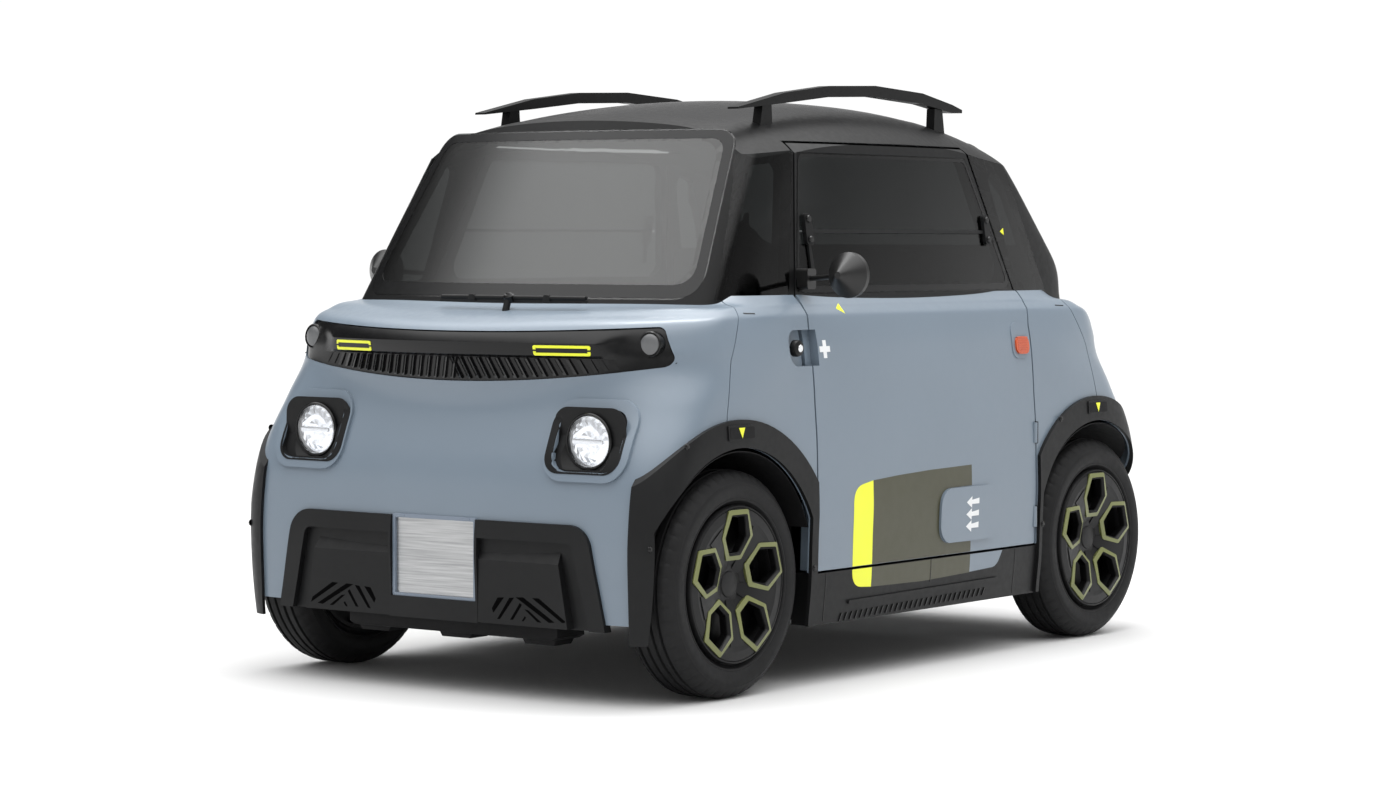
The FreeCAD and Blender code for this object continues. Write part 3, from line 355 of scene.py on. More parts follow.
def tube(name, path, radius, look, body="body", steps=12):
    """A round bar along points."""
    path = [Vector(p) for p in path]
    verts = []
    for k, p in enumerate(path):
        run = (path[min(k + 1, len(path) - 1)] - path[max(k - 1, 0)]).normalized()
        side = run.cross(Vector((0, 0, 1))).normalized()
        top = side.cross(run)
        for i in range(steps):
            t = 2 * math.pi * i / steps
            verts.append(p + side * radius * math.cos(t) + top * radius * math.sin(t))
    faces = wrap(len(path), steps, False)
    faces.append(list(range(steps)))
    faces.append([(len(path) - 1) * steps + i for i in reversed(range(steps))])
    return piece(name, verts, faces, look, body, 40)


def slab(name, outline, across, low, high, look, body="body", bevel=0.0, smooth=35):
    """A prism of an outline in the plane square to an axis, with softened rims."""
    axis = "XYZ".index(across)
    rest = [i for i in range(3) if i != axis]
    bm = bmesh.new()
    rows = []
    for height in (low, high):
        row = []
        for a, b in outline:
            p = Vector((0, 0, 0))
            p[axis] = height
            p[rest[0]] = a
            p[rest[1]] = b
            row.append(bm.verts.new(p))
        rows.append(row)
    count = len(outline)
    bm.faces.new(rows[0])
    bm.faces.new(reversed(rows[1]))
    for k in range(count):
        n = (k + 1) % count
        bm.faces.new((rows[0][k], rows[1][k], rows[1][n], rows[0][n]))
    bmesh.ops.recalc_face_normals(bm, faces=bm.faces)
    if bevel:
        rims = [e for e in bm.edges if abs(e.verts[0].co[axis] - e.verts[1].co[axis]) < 1e-7]
        bmesh.ops.bevel(bm, geom=rims, offset=bevel, segments=2, affect="EDGES", profile=0.5)
    verts = [v.co.copy() for v in bm.verts]
    bm.verts.index_update()
    faces = [[v.index for v in f.verts] for f in bm.faces]
    bm.free()
    return piece(name, verts, faces, look, body, smooth)


# Doors and sills: colour fields, marks, repeater lamp and the lock in the handle cup.
LOCK_Y = -0.568
DOOR_LOW = 0.2878
SILL_TOP = 0.2802
FIELD = {"left": -0.352, "yellow": -0.264, "right": 0.209, "blue": 0.374, "top": 0.508, "low": 0.228}


def clipped(outline, height, above):
    """The part of an outline above or below a height."""
    out = []
    for k, (y, z) in enumerate(outline):
        py, pz = outline[k - 1]
        inside = (z >= height) == above
        before = (pz >= height) == above
        if inside != before:
            t = (height - pz) / (z - pz)
            out.append((py + (y - py) * t, height))
        if inside:
            out.append((y, z))
    return out


YELLOW_FIELD = rounded([(FIELD["yellow"], FIELD["low"] + 0.002), (FIELD["yellow"], 0.502),
                        (FIELD["left"], 0.488), (FIELD["left"], 0.236)], [0, 0, 0.095, 0.085], 10)
BLISTER = rounded([(0.049, 0.317), (0.049, 0.463), (0.333, 0.463), (0.333, 0.317)], 0.055, 10)
OLIVE_FIELD = [(FIELD["yellow"], FIELD["low"] + 0.002), (FIELD["yellow"], 0.502), (-0.15, 0.509), (0.0, 0.515),
               (FIELD["right"], 0.519), (FIELD["right"], 0.464)]
FACING = [p for p in reversed(BLISTER) if p[0] < FIELD["right"]]
OLIVE_FIELD = OLIVE_FIELD + [p for p in FACING if p[1] > 0.39] + [p for p in FACING if p[1] <= 0.39]
OLIVE_FIELD = OLIVE_FIELD + [(FIELD["right"], 0.316), (FIELD["right"], FIELD["low"] + 0.004),
                             (-0.02, FIELD["low"] - 0.002)]
BLUE_FIELD = rounded([(FIELD["right"], FIELD["low"] + 0.005), (FIELD["right"], SILL_TOP), (FIELD["blue"], SILL_TOP),
                      (0.345, 0.238)], [0, 0, 0, 0.045])


def cross_mark(y, z, wide, high, bar):
    w, h, b = wide / 2, high / 2, bar / 2
    return [(y - b, z - h), (y + b, z - h), (y + b, z - b), (y + w, z - b), (y + w, z + b), (y + b, z + b),
            (y + b, z + h), (y - b, z + h), (y - b, z + b), (y - w, z + b), (y - w, z - b), (y - b, z - b)]


def arrow_mark(y, z, long, high, bar):
    """A plain arrow that points to the front."""
    h, b = high / 2, bar / 2
    head = 0.42 * long
    return [(y - long / 2, z), (y - long / 2 + head, z - h), (y - long / 2 + head, z - b),
            (y + long / 2, z - b), (y + long / 2, z + b + 0.004), (y - long / 2 + head, z + b),
            (y - long / 2 + head, z + h)]


for sign, side in SIDES:
    door = "door_" + side
    panel = tree_of(door + "_panel")
    sill = tree_of("sills")
    way = (-sign, 0, 0)
    for label, field, look in (("yellow", YELLOW_FIELD, YELLOW), ("olive", OLIVE_FIELD, OLIVE)):
        laid("%s_%s_field" % (door, label), clipped(field, DOOR_LOW, True), panel, way, look, door)
        laid("sill_%s_%s_field" % (side, label), clipped(field, SILL_TOP, False), sill, way, look)
    laid("sill_%s_blue_field" % side, BLUE_FIELD, sill, way, BODY)
    laid("sill_%s_divider" % side, [(0.0148, 0.222), (0.0172, 0.222), (0.0172, SILL_TOP), (0.0148, SILL_TOP)],
         sill, way, GLOSS, lift=0.0012)
    for k, z in enumerate((0.3565, 0.3885, 0.4205)):
        laid("%s_arrow_%d" % (door, k), arrow_mark(0.204, z, 0.062, 0.030, 0.011), panel, way, WHITE, door)
    laid(door + "_plus", cross_mark(-0.4507, 0.8405, 0.045, 0.045, 0.0145), panel, way, WHITE, door)
    laid(door + "_belt_mark", [(-0.356, 0.9405), (-0.331, 0.9275), (-0.331, 0.9535)], panel, way, YELLOW, door)
    base = rounded([(0.448, 0.794), (0.448, 0.892), (0.536, 0.892), (0.536, 0.794)], 0.032)
    laid(door + "_marker_seat", base, panel, way, BODY, door, lift=0.0022)
    lens = rounded([(0.461, 0.806), (0.461, 0.853), (0.527, 0.853), (0.527, 0.806)], 0.022)
    laid(door + "_marker", lens, panel, way, ORANGE, door, lift=0.0075)
    for k in range(7):
        z = 0.8115 + k * 0.0064
        laid("%s_marker_rib_%d" % (door, k), [(0.468, z), (0.468, z + 0.002), (0.520, z + 0.002), (0.520, z)],
             panel, way, ORANGE, door, lift=0.009)
    # Lock in the handle cup: the cup is cut into the wing ahead of the left door and behind the right one.
    spot = Vector((sign * 0.6535, LOCK_Y if side == "left" else TURN_SUM - LOCK_Y, 0.845))
    rose = [(0, 0.012), (0.013, 0.012), (0.019, 0.009), (0.021, 0.004), (0.021, -0.006), (0, -0.006)]
    lathe("lock_rose_" + side, rose, spot, (sign, 0, 0), 40, BLACK)
    barrel = [(0, 0.0145), (0.0085, 0.0145), (0.0095, 0.0135), (0.0095, 0.008), (0, 0.008)]
    lathe("lock_barrel_" + side, barrel, spot, (sign, 0, 0), 32, CHROME)

# Sill ribs, vents, seams and arch bolts.
ARCHES = (("front", -0.845), ("rear", 0.870))
BOLT = [(0, 0.0042), (0.0045, 0.004), (0.0062, 0.0022), (0.0082, 0.001), (0.0088, -0.002), (0, -0.002)]
sill = tree_of("sills")
trim = tree_of("arch_trims")
for sign, side in SIDES:
    way = (-sign, 0, 0)
    rib = rounded([(-0.365, 0.194), (-0.365, 0.203), (0.353, 0.209), (0.353, 0.198)], 0.003)
    laid("sill_rib_%s" % side, rib, sill, way, BLACK, lift=0.0055)
    for k in range(30):
        y = -0.40 + k * 0.0235
        z = 0.1585 + 0.012 * k / 29
        slat = [(y, z - 0.006), (y + 0.010, z + 0.014), (y + 0.014, z + 0.014), (y + 0.004, z - 0.006)]
        laid("sill_vent_%s_%d" % (side, k), slat, sill, way, GLOSS, lift=0.0028)
    for k, y in enumerate((-0.469, 0.441)):
        line = [(y, 0.158), (y + 0.0022, 0.158), (y + 0.0022, 0.279), (y, 0.279)]
        laid("sill_seam_%s_%d" % (side, k), line, sill, way, GLOSS, lift=0.0008)
    for end, centre in ARCHES:
        spots = [(centre - 0.201, 0.3443), (centre + 0.219, 0.346)]
        if end == "front":
            spots.append((centre - 0.3063, 0.1056))
            spots.append((centre + 0.312, 0.02))
        else:
            spots.append((centre - 0.300, 0.060))
        for k, (y, high) in enumerate(spots):
            hit = trim.ray_cast(Vector((sign * RAY_RUN, y, AXLE_Z + high)), Vector(way))[0]
            if hit:
                lathe("arch_bolt_%s_%s_%d" % (end, side, k), BOLT, hit, (sign, 0, 0), 20, GLOSS)
        box_at = centre - 0.004
        frame_line = rounded([(box_at - 0.052, 0.630), (box_at - 0.052, 0.667), (box_at + 0.052, 0.667),
                              (box_at + 0.052, 0.630)], 0.006)
        laid("arch_label_%s_%s" % (end, side), frame_line, trim, way, BLACK, lift=0.0035)
        inner = rounded([(box_at - 0.047, 0.634), (box_at - 0.047, 0.662), (box_at + 0.052, 0.662),
                         (box_at + 0.052, 0.634)], 0.004)
        laid("arch_label_face_%s_%s" % (end, side), inner, trim, way, UNDER, lift=0.0041)
        mark = [(box_at + 0.012, 0.6605), (box_at - 0.012, 0.6605), (box_at, 0.6355)]
        laid("arch_mark_%s_%s" % (end, side), mark, trim, way, YELLOW, lift=0.0048)


# Shoulder seams beside the moulding joint, and liners inside the arches.
LINER_R, LINER_THICK = 0.322, 0.0025
LINER_IN, LINER_OUT = 0.44, 0.672
SKIN_R = 0.345
LINER_STEPS = 48


for sign, side in SIDES:
    way = (-sign, 0, 0)
    shoulder = tree_of("front_wings", "front_fascia", "rear_wings", "rear_fascia")
    for end, y0 in (("front", -0.742), ("rear", 0.742)):
        line = [(y0 - 0.022, 0.9335), (y0 + 0.022, 0.9322), (y0 + 0.022, 0.9345), (y0 - 0.022, 0.9358)]
        laid("shoulder_seam_%s_%s" % (end, side), line, shoulder, way, GLOSS, lift=0.0012)
    skin = tree_of("front_wings", "front_fascia", "rear_wings", "rear_fascia", "arch_trims")
    for end, centre in AXLES.items():
        rows = []
        for k in range(LINER_STEPS + 1):
            t = math.radians(-12 + 204 * k / LINER_STEPS)
            y = centre + LINER_R * math.cos(t)
            if (end == "front") == (y > centre) and abs(y - centre) > 0.3165:
                continue
            spot = Vector((sign * 1.5, centre + SKIN_R * math.cos(t), AXLE_Z + SKIN_R * math.sin(t)))
            hit = skin.ray_cast(spot, Vector((-sign, 0, 0)))[0]
            reach = abs(hit.x) - 0.012 if hit else 0.0
            if reach < 0.45:
                continue
            rows.append((k, t, min(reach, LINER_OUT)))
        verts = []
        faces = []
        for k, t, reach in rows:
            for radius in (LINER_R, LINER_R + LINER_THICK):
                for x in (LINER_IN, reach):
                    verts.append((sign * x, centre + radius * math.cos(t), AXLE_Z + radius * math.sin(t)))
        for n in range(len(rows)):
            i = 4 * n
            j = i + 4
            follows = n + 1 < len(rows) and rows[n + 1][0] == rows[n][0] + 1
            leads = n > 0 and rows[n - 1][0] == rows[n][0] - 1
            if follows:
                faces.extend([[i, i + 1, j + 1, j], [i + 2, j + 2, j + 3, i + 3], [i, j, j + 2, i + 2]])
                faces.append([i + 1, i + 3, j + 3, j + 1])
            if follows and not leads:
                faces.append([i, i + 2, i + 3, i + 1])
            if leads and not follows:
                faces.append([i, i + 1, i + 3, i + 2])
        if faces:
            piece("arch_liner_%s_%s" % (end, side), verts, faces, UNDER, "body", 40)


# Wheels: olive hexagon rims, hub star and tyres with tread.
COVER_R = 0.193
RIM_THICK = 0.002
STAR_THICK = 0.008
HUB_X = 0.594
TYRE_R = 0.2785
TYRE_HALF = 0.0775
CUT_EVERY, CUT_DEEP = 6, 0.0035
SHOULDER_R, SHOULDER_H = 0.2580, 0.044
OUTER = [(0.945, 0.203), (0.60, 0.328), (0.305, 0.152)]
MIDDLE = [(0.885, 0.166), (0.60, 0.270), (0.362, 0.116)]
HOLE = [(0.858, 0.148), (0.60, 0.233), (0.397, 0.113)]


def cover_height(r):
    """Height of the wheel cover's face above the wheel's middle plane."""
    stations = [(0.0, 0.050), (0.046, 0.050), (0.070, 0.062), (0.163, 0.078), (0.185, 0.076), (0.193, 0.066)]
    for (r0, h0), (r1, h1) in zip(stations, stations[1:]):
        if r <= r1:
            return h0 + (h1 - h0) * (r - r0) / (r1 - r0)
    return 0.066


def ring_points(shape, raise_by, turn):
    """A hexagon of the cover as points (height, across, up), finely divided and rounded a little."""
    corners = [(w * COVER_R, r * COVER_R) for r, w in shape]
    corners = corners + [(-x, r) for x, r in reversed(corners)]
    line = rounded(corners, 0.006, 3)
    out = []
    for a, b in line:
        r = math.hypot(a, b)
        out.append((cover_height(r) + raise_by, a * math.cos(turn) + b * math.sin(turn),
                    b * math.cos(turn) - a * math.sin(turn)))
    return out


def wheel_dress(label, sign, y):
    body = "wheel_" + label
    centre = Vector((sign * HUB_X, y, AXLE_Z))
    for k in range(5):
        turn = math.radians(72 * k)
        rings = [ring_points(OUTER, -0.004, turn), ring_points(OUTER, 0.0045, turn),
                 ring_points(MIDDLE, 0.0062, turn), ring_points(HOLE, -0.002, turn), ring_points(HOLE, -0.02, turn)]
        for part, low, high, look in (("rim", 0, 2, RIM_OLIVE), ("bevel", 2, 4, WHEEL)):
            face = rings[low:high + 1]
            rows = face + [[(h - RIM_THICK, a, b) for h, a, b in ring] for ring in reversed(face)]
            verts = [centre + Vector((sign * h, a, b)) for row in rows for h, a, b in row]
            piece("%s_hex_%s_%d" % (body, part, k), verts, wrap(len(rows), len(rows[0])), look, body, 30)
        spoke = turn + math.radians(36)
        verts = []
        for r, w, h in ((0.036, 0.012, 0.0), (0.060, 0.020, 0.0035), (0.105, 0.016, 0.004), (0.150, 0.030, 0.0025)):
            for side_sign in (-1, 1):
                a = side_sign * w
                verts.append((cover_height(r) + h, a * math.cos(spoke) + r * math.sin(spoke),
                              r * math.cos(spoke) - a * math.sin(spoke)))
        points = [centre + Vector((sign * h, a, b)) for h, a, b in verts]
        points = points + [p - Vector((sign * STAR_THICK, 0, 0)) for p in points]
        faces = [[0, 1, 3, 2], [2, 3, 5, 4], [4, 5, 7, 6], [8, 10, 11, 9], [10, 12, 13, 11], [12, 14, 15, 13],
                 [0, 2, 10, 8], [2, 4, 12, 10], [4, 6, 14, 12], [1, 9, 11, 3], [3, 11, 13, 5], [5, 13, 15, 7],
                 [0, 8, 9, 1], [6, 7, 15, 14]]
        piece("%s_star_%d" % (body, k), points, faces, WHEEL, body, 20)
    hub = [(0, 0.0545), (0.020, 0.0545), (0.031, 0.0525), (0.034, 0.048), (0, 0.048)]
    lathe(body + "_hub_cap", hub, centre, (sign, 0, 0), 60, WHEEL, body)
    lip = [(0.186, 0.0745), (0.188, 0.0775), (0.191, 0.0765), (0.1935, 0.0705), (0.1935, 0.062), (0.186, 0.062)]
    lathe(body + "_cover_lip", lip, centre, (sign, 0, 0), 96, WHEEL, body, closed=True)


def tyre(label, sign, y):
    """A tyre with ribs on its wall, four grooves round the tread and cuts across the shoulders."""
    body = "wheel_" + label
    wall = [(0.1862, 0.0560), (0.1950, 0.0575), (0.2010, 0.0640), (0.2045, 0.0718), (0.2080, 0.0736),
            (0.2110, 0.0728), (0.2135, 0.0745), (0.2240, 0.0763), (0.2350, TYRE_HALF), (0.2440, 0.0768),
            (0.2462, 0.0752), (0.2486, 0.0752), (0.2505, 0.0735), (0.2580, 0.0695), (0.2660, 0.0630),
            (0.2720, 0.0570), (0.2752, 0.0520)]
    tread = []
    for middle in (0.0375, 0.0125):
        tread.extend([(TYRE_R - 0.0008, middle + 0.0045), (TYRE_R - 0.0065, middle + 0.0030),
                      (TYRE_R - 0.0065, middle - 0.0030), (TYRE_R - 0.0002, middle - 0.0045)])
    half_profile = wall + tread
    profile = half_profile + [(r, -h) for r, h in reversed(half_profile)]
    steps = 288
    verts = []
    for k in range(steps):
        t = 2 * math.pi * k / steps
        for r, h in profile:
            across_shoulder = k % CUT_EVERY == 0 and r > SHOULDER_R and abs(h) > SHOULDER_H
            cut = CUT_DEEP if across_shoulder else 0.0
            verts.append((sign * HUB_X + h, y + (r - cut) * math.sin(t), AXLE_Z + (r - cut) * math.cos(t)))
    obj = piece("tyre_look_" + label, verts, wrap(steps, len(profile)), RUBBER, body, 38)
    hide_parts("tyre_" + label)


for end, y in AXLES.items():
    for sign, side in SIDES:
        wheel_dress(end + "_" + side, sign, y)
        tyre(end + "_" + side, sign, y)


# Nose and tail: the moulded band, corner lamps, headlamps and bumper vents.
VENT_SLOTS = (
    ((0.205, 0.2463), (0.2249, 0.248), (0.1918, 0.209), (0.1875, 0.2193)),
    ((0.2418, 0.2479), (0.256, 0.2491), (0.2124, 0.1948), (0.2039, 0.1941)),
    ((0.2741, 0.2371), (0.2803, 0.2328), (0.253, 0.1957), (0.2445, 0.195)),
    ((0.2897, 0.206), (0.2938, 0.203), (0.2853, 0.1936), (0.2809, 0.1942)),
    ((0.2618, 0.2505), (0.2844, 0.2514), (0.3813, 0.1967), (0.3642, 0.1953)),
    ((0.3125, 0.2514), (0.3323, 0.252), (0.4181, 0.1988), (0.4039, 0.1977)),
    ((0.2891, 0.2229), (0.3002, 0.2214), (0.3405, 0.1943), (0.3292, 0.1944)))
LOW_BOW = 0.765
RELIEF_BACK = 0.004
BOW = 0.047 / 0.604 ** 2


def band_outline():
    """The opening of the band, a little smaller all round, with bowed top and bottom."""
    low = [(x, LOW_BOW + 0.0035 + BOW * x * x) for x in (0.588 * k / 24 for k in range(-24, 25))]
    top = [(x, 0.8855 + 0.016 * (x / 0.563) ** 2) for x in (0.548 * k / 16 for k in range(16, -17, -1))]
    right = rounded([low[-1], (0.6015, 0.8165), (0.5615, 0.9015), top[0]], [0, 0.018, 0.018, 0], 6)
    left = [(-x, z) for x, z in reversed(right)]
    return low[:-1] + right + top[1:-1] + left[:-1]


BAND_IN = band_outline()
FOLD = 0.8625
SLATS = 0.8265
SLAT_PITCH, SLAT_WIDE = 0.0275, 0.0125
BLOCK_FACES = ((0, 1, 2, 3), (7, 6, 5, 4), (0, 4, 5, 1), (1, 5, 6, 2), (2, 6, 7, 3), (3, 7, 4, 0))


def step(value, low, high):
    t = min(max((value - low) / (high - low), 0.0), 1.0)
    return t * t * (3 - 2 * t)


def band_relief(x, z):
    """How far the band's face stands out: a shelf down to a fold, then a face that leans back to the slats."""
    side = 1 - step(abs(x), 0.415 + 1.1 * max(z - FOLD, 0), 0.475 + 1.1 * max(z - FOLD, 0))
    if z > FOLD:
        raised = 0.0115 * (1 - (z - FOLD) / 0.034)
    elif z > SLATS:
        raised = 0.0115 - 0.006 * (FOLD - z) / (FOLD - SLATS)
    else:
        raised = 0.0006
    return 0.0008 + max(raised, 0.0) * side


def relief(name, outline, tree, way, look, height, cell, folds, smooth=20):
    """A plate over a surface whose face stands out by a height that varies with its place."""
    across = 0 if way[1] else 1
    bm = gridded(outline, across, cell, folds)
    bmesh.ops.triangulate(bm, faces=[f for f in bm.faces if len(f.verts) > 4])
    bm.verts.index_update()
    bm.verts.ensure_lookup_table()
    normal = Vector(way)
    tops = []
    for v in bm.verts:
        hit = tree.ray_cast(v.co - normal * RAY_RUN, normal)[0]
        if hit is None:
            near = tree.find_nearest(v.co - normal * 1.0)[0]
            hit = v.co.copy()
            hit[1 - across] = near[1 - across]
        tops.append(hit - normal * height(v.co[across], v.co.z))
    return plated(name, bm, tops, normal * RELIEF_BACK, look, "body", smooth)


def tree_of_piece(obj):
    faces = [list(p.vertices) for p in obj.data.polygons]
    return BVHTree.FromPolygons([v.co.copy() for v in obj.data.vertices], faces)


def bar_ring(x0, x1, z0, z1, thick):
    """Two brackets that make an outlined bar, open along its middle at both ends."""
    mid = (z0 + z1) / 2
    gap = 0.0022
    upper = [(x0, mid + gap), (x0 + thick, mid + gap), (x0 + thick, z1 - thick), (x1 - thick, z1 - thick),
             (x1 - thick, mid + gap), (x1, mid + gap), (x1, z1 - 0.003), (x1 - 0.003, z1), (x0 + 0.003, z1),
             (x0, z1 - 0.003)]
    lower = [(x, 2 * mid - z) for x, z in reversed(upper)]
    return upper, lower


for end, way, out in ENDS:
    front = end == "front"
    band = tree_of("lamp_band_" + end)
    face = relief("band_face_" + end, BAND_IN, band, way, GLOSS, band_relief, 0.008, (FOLD, SLATS))
    face_tree = tree_of_piece(face)
    verts_all = []
    faces_all = []
    for k in range(-17, 18):
        x = k * SLAT_PITCH
        low = LOW_BOW + 0.0065 + BOW * x * x
        high = SLATS - 0.0025
        if high - low < 0.005:
            continue
        lean = -0.020 if x > 0 else 0.020
        corners = ((x, low), (x + SLAT_WIDE, low), (x + SLAT_WIDE + lean, high), (x + lean, high))
        tops = [face_tree.ray_cast(Vector((u, 0, z)) - Vector(way) * RAY_RUN, Vector(way))[0] for u, z in corners]
        if any(top is None for top in tops):
            continue
        start = len(verts_all)
        raised = 0.0012 + 0.0052 * (1 - step(abs(x), 0.33, 0.46))
        verts_all.extend(p - Vector(way) * lift for p, lift in zip(tops, (0.0012, raised, raised, 0.0012)))
        verts_all.extend(p + Vector(way) * 0.002 for p in tops)
        faces_all.extend([start + i for i in f] for f in BLOCK_FACES)
    piece("band_slats_" + end, verts_all, faces_all, GLOSS)
    if front:
        for sign, side in SIDES:
            x0, x1 = sorted((sign * 0.261, sign * 0.408))
            for k, ring in enumerate(bar_ring(x0, x1, 0.8325, 0.8575, 0.0068)):
                laid("band_bar_%s_%d" % (side, k), ring, face_tree, way, YELLOW, lift=0.0016, cell=0.03)
    for sign, side in SIDES:
        at = Vector((sign * 0.542, out * 3, 0.862))
        hit, normal = face_tree.ray_cast(at, Vector(way))[:2]
        aim = (Vector((0, out, 0)) + 0.35 * normal.normalized() * (1 if normal.y * out > 0 else -1)).normalized()
        boss = [(0, 0.004), (0.0262, 0.004), (0.0275, 0.0075), (0.0300, 0.0080), (0.0318, 0.0060), (0.0335, -0.012),
                (0, -0.012)]
        lathe("corner_lamp_ring_%s_%s" % (end, side), boss, hit, aim, 56, GLOSS)
        dome = [(0.0, 0.0122), (0.008, 0.0119), (0.015, 0.0110), (0.0215, 0.0093), (0.0252, 0.0068), (0.0256, 0.0045),
                (0, 0.0045)]
        look = CORNER if front else ORANGE
        lathe("corner_lamp_%s_%s" % (end, side), dome, hit, aim, 56, look)

# Headlamps and tail lamps: a bright faceted reflector behind a clear cover, a bar and a dark collar.
LAMP_X, LAMP_Z = 0.439, 0.630
for end, way, out in ENDS:
    front = end == "front"
    for sign, side in SIDES:
        centre = Vector((sign * LAMP_X, out * 1.122, LAMP_Z))
        aim = Vector((0, out, 0))
        name = ("headlamp_%s" if front else "tail_lamp_%s") % side
        collar = [(0.0612, 0.0065), (0.0632, 0.0095), (0.0665, 0.0100), (0.0690, 0.0070), (0.0690, -0.004),
                  (0.0612, -0.004)]
        lathe(name + "_collar", collar, centre, aim, 72, GLOSS, "body", closed=True)
        verts = [centre + aim * 0.0075]
        faces = []
        rings = ((0.014, 0.0085, 8), (0.026, 0.0066, 16), (0.038, 0.0076, 16), (0.050, 0.0040, 32),
                 (0.0605, 0.0012, 32))
        previous = [0]
        for radius, lift, count in rings:
            row = []
            for k in range(count):
                t = 2 * math.pi * (k + (0.5 if radius in (0.026, 0.050) else 0)) / count
                row.append(len(verts))
                wave = 0.0012 if k % 2 else 0.0
                verts.append(centre + Vector((math.cos(t) * radius, 0, math.sin(t) * radius)) + aim * (lift - wave))
            share = count // len(previous)
            for k in range(count):
                n = (k + 1) % count
                a, b = previous[k // share], previous[(k + 1) // share % len(previous)]
                faces.append([a, row[k], row[n]] + ([b] if b != a else []))
            previous = row
        back = len(verts)
        verts.append(centre)
        faces.extend([back, previous[(k + 1) % len(previous)], previous[k]] for k in range(len(previous)))
        piece(name + "_reflector", verts, faces, BEAM if front else TAIL)
        bar = rounded([(sign * LAMP_X - 0.046, LAMP_Z - 0.006), (sign * LAMP_X + 0.046, LAMP_Z - 0.006),
                       (sign * LAMP_X + 0.046, LAMP_Z + 0.006), (sign * LAMP_X - 0.046, LAMP_Z + 0.006)], 0.004, 3)
        ends = sorted((out * 1.1285, out * 1.1335))
        slab(name + "_bar", bar, "Y", ends[0], ends[1], CHROME, "body", 0.0015)
        cover = [(0, 0.0185), (0.018, 0.0182), (0.036, 0.0168), (0.050, 0.0142), (0.0585, 0.0108), (0.0608, 0.0080),
                 (0.0592, 0.0080), (0.0572, 0.0094), (0.049, 0.0124), (0.036, 0.0150), (0.018, 0.0164), (0, 0.0167)]
        lathe(name + "_cover", cover, centre, aim, 72, LENS)

# Bumper vents: nested slanted slots in the lower corners of each pad, each a thin near-black plate of painted shade
# laid where the opening's dark inside would be.
for end, way, out in ENDS:
    insert = tree_of("bumper_insert_" + end)
    for sign, side in SIDES:
        for k, slot in enumerate(VENT_SLOTS):
            points = [(sign * x, z) for x, z in slot]
            laid("vent_slot_%s_%s_%d" % (end, side, k), points, insert, way, SLOT_SHADE, lift=0.0006, sink=0.001)
    border = rounded([(-0.134, 0.231), (0.134, 0.231), (0.134, 0.436), (-0.134, 0.436)], 0.006, 3)
    inner = rounded([(-0.126, 0.239), (0.126, 0.239), (0.126, 0.426), (-0.126, 0.426)], 0.003, 3)
    loops = ((border, 1.1785), (border, 1.1835), (inner, 1.1835), (inner, 1.1765))
    verts = [(x, out * depth, z) for outline, depth in loops for x, z in outline]
    piece("plate_surround_" + end, verts, wrap(len(loops), len(border)), FRAME_BLUE, "body", 30)
    for k, x in enumerate((-0.105, 0.105)):
        hook = [(x - 0.010, 0.428), (x + 0.010, 0.428), (x + 0.010, 0.434), (x - 0.010, 0.434)]
        ends = sorted((out * 1.176, out * 1.1845))
        slab("plate_clip_%s_%d" % (end, k), hook, "Y", ends[0], ends[1], FRAME_BLUE, "body", 0.001)


# Greenhouse: window borders, split strips, clips and the wiper's blade.
def shrunk(corners, by):
    """A convex outline with each side moved in; by is one value or one for each side."""
    count = len(corners)
    moves = by if isinstance(by, (list, tuple)) else [by] * count
    area = sum(corners[k - 1][0] * corners[k][1] - corners[k][0] * corners[k - 1][1] for k in range(count))
    turn = 1 if area > 0 else -1
    lines = []
    for k in range(count):
        a = Vector(corners[k])
        b = Vector(corners[(k + 1) % count])
        run = (b - a).normalized()
        inside = Vector((-run.y, run.x)) * turn
        lines.append((a + inside * moves[k], run))
    out = []
    for k in range(count):
        p, d = lines[k - 1]
        q, e = lines[k]
        t = ((q.x - p.x) * e.y - (q.y - p.y) * e.x) / (d.x * e.y - d.y * e.x)
        out.append((p.x + d.x * t, p.y + d.y * t))
    return out


def ringed(name, corners, round_out, start, stop, tree, way, look, body, lift):
    """A border that follows a surface between two inset copies of an outline."""
    across = 0 if way[1] else 1
    outer = rounded(shrunk(corners, start), round_out, 8)
    inner = rounded(shrunk(corners, stop), max(round_out - 0.008, 0.004), 8)
    rows = []
    for k in range(len(outer)):
        n = (k + 1) % len(outer)
        parts = max(1, int(math.hypot(outer[n][0] - outer[k][0], outer[n][1] - outer[k][1]) / 0.02))
        for i in range(parts):
            t = i / parts
            rows.append([tuple(row[k][m] * (1 - t) + row[n][m] * t for m in (0, 1)) for row in (outer, inner)])
    normal = Vector(way)
    verts = []
    for pair in rows:
        for u, z in pair:
            start_at = flat_point(across, u, z)
            hit = tree.ray_cast(start_at - normal * RAY_RUN, normal)[0]
            if hit is None:
                hit = tree.find_nearest(start_at - normal * 0.6)[0]
            verts.extend((hit - normal * lift, hit + normal * BORDER_SINK))
    count = len(rows)
    faces = []
    for k in range(count):
        i = 4 * k
        j = 4 * ((k + 1) % count)
        faces.extend([[i, i + 2, j + 2, j], [i + 1, j + 1, j + 3, i + 3]])
        faces.extend([[i, j, j + 1, i + 1], [i + 2, i + 3, j + 3, j + 2]])
    return piece(name, verts, faces, look, body, 30)


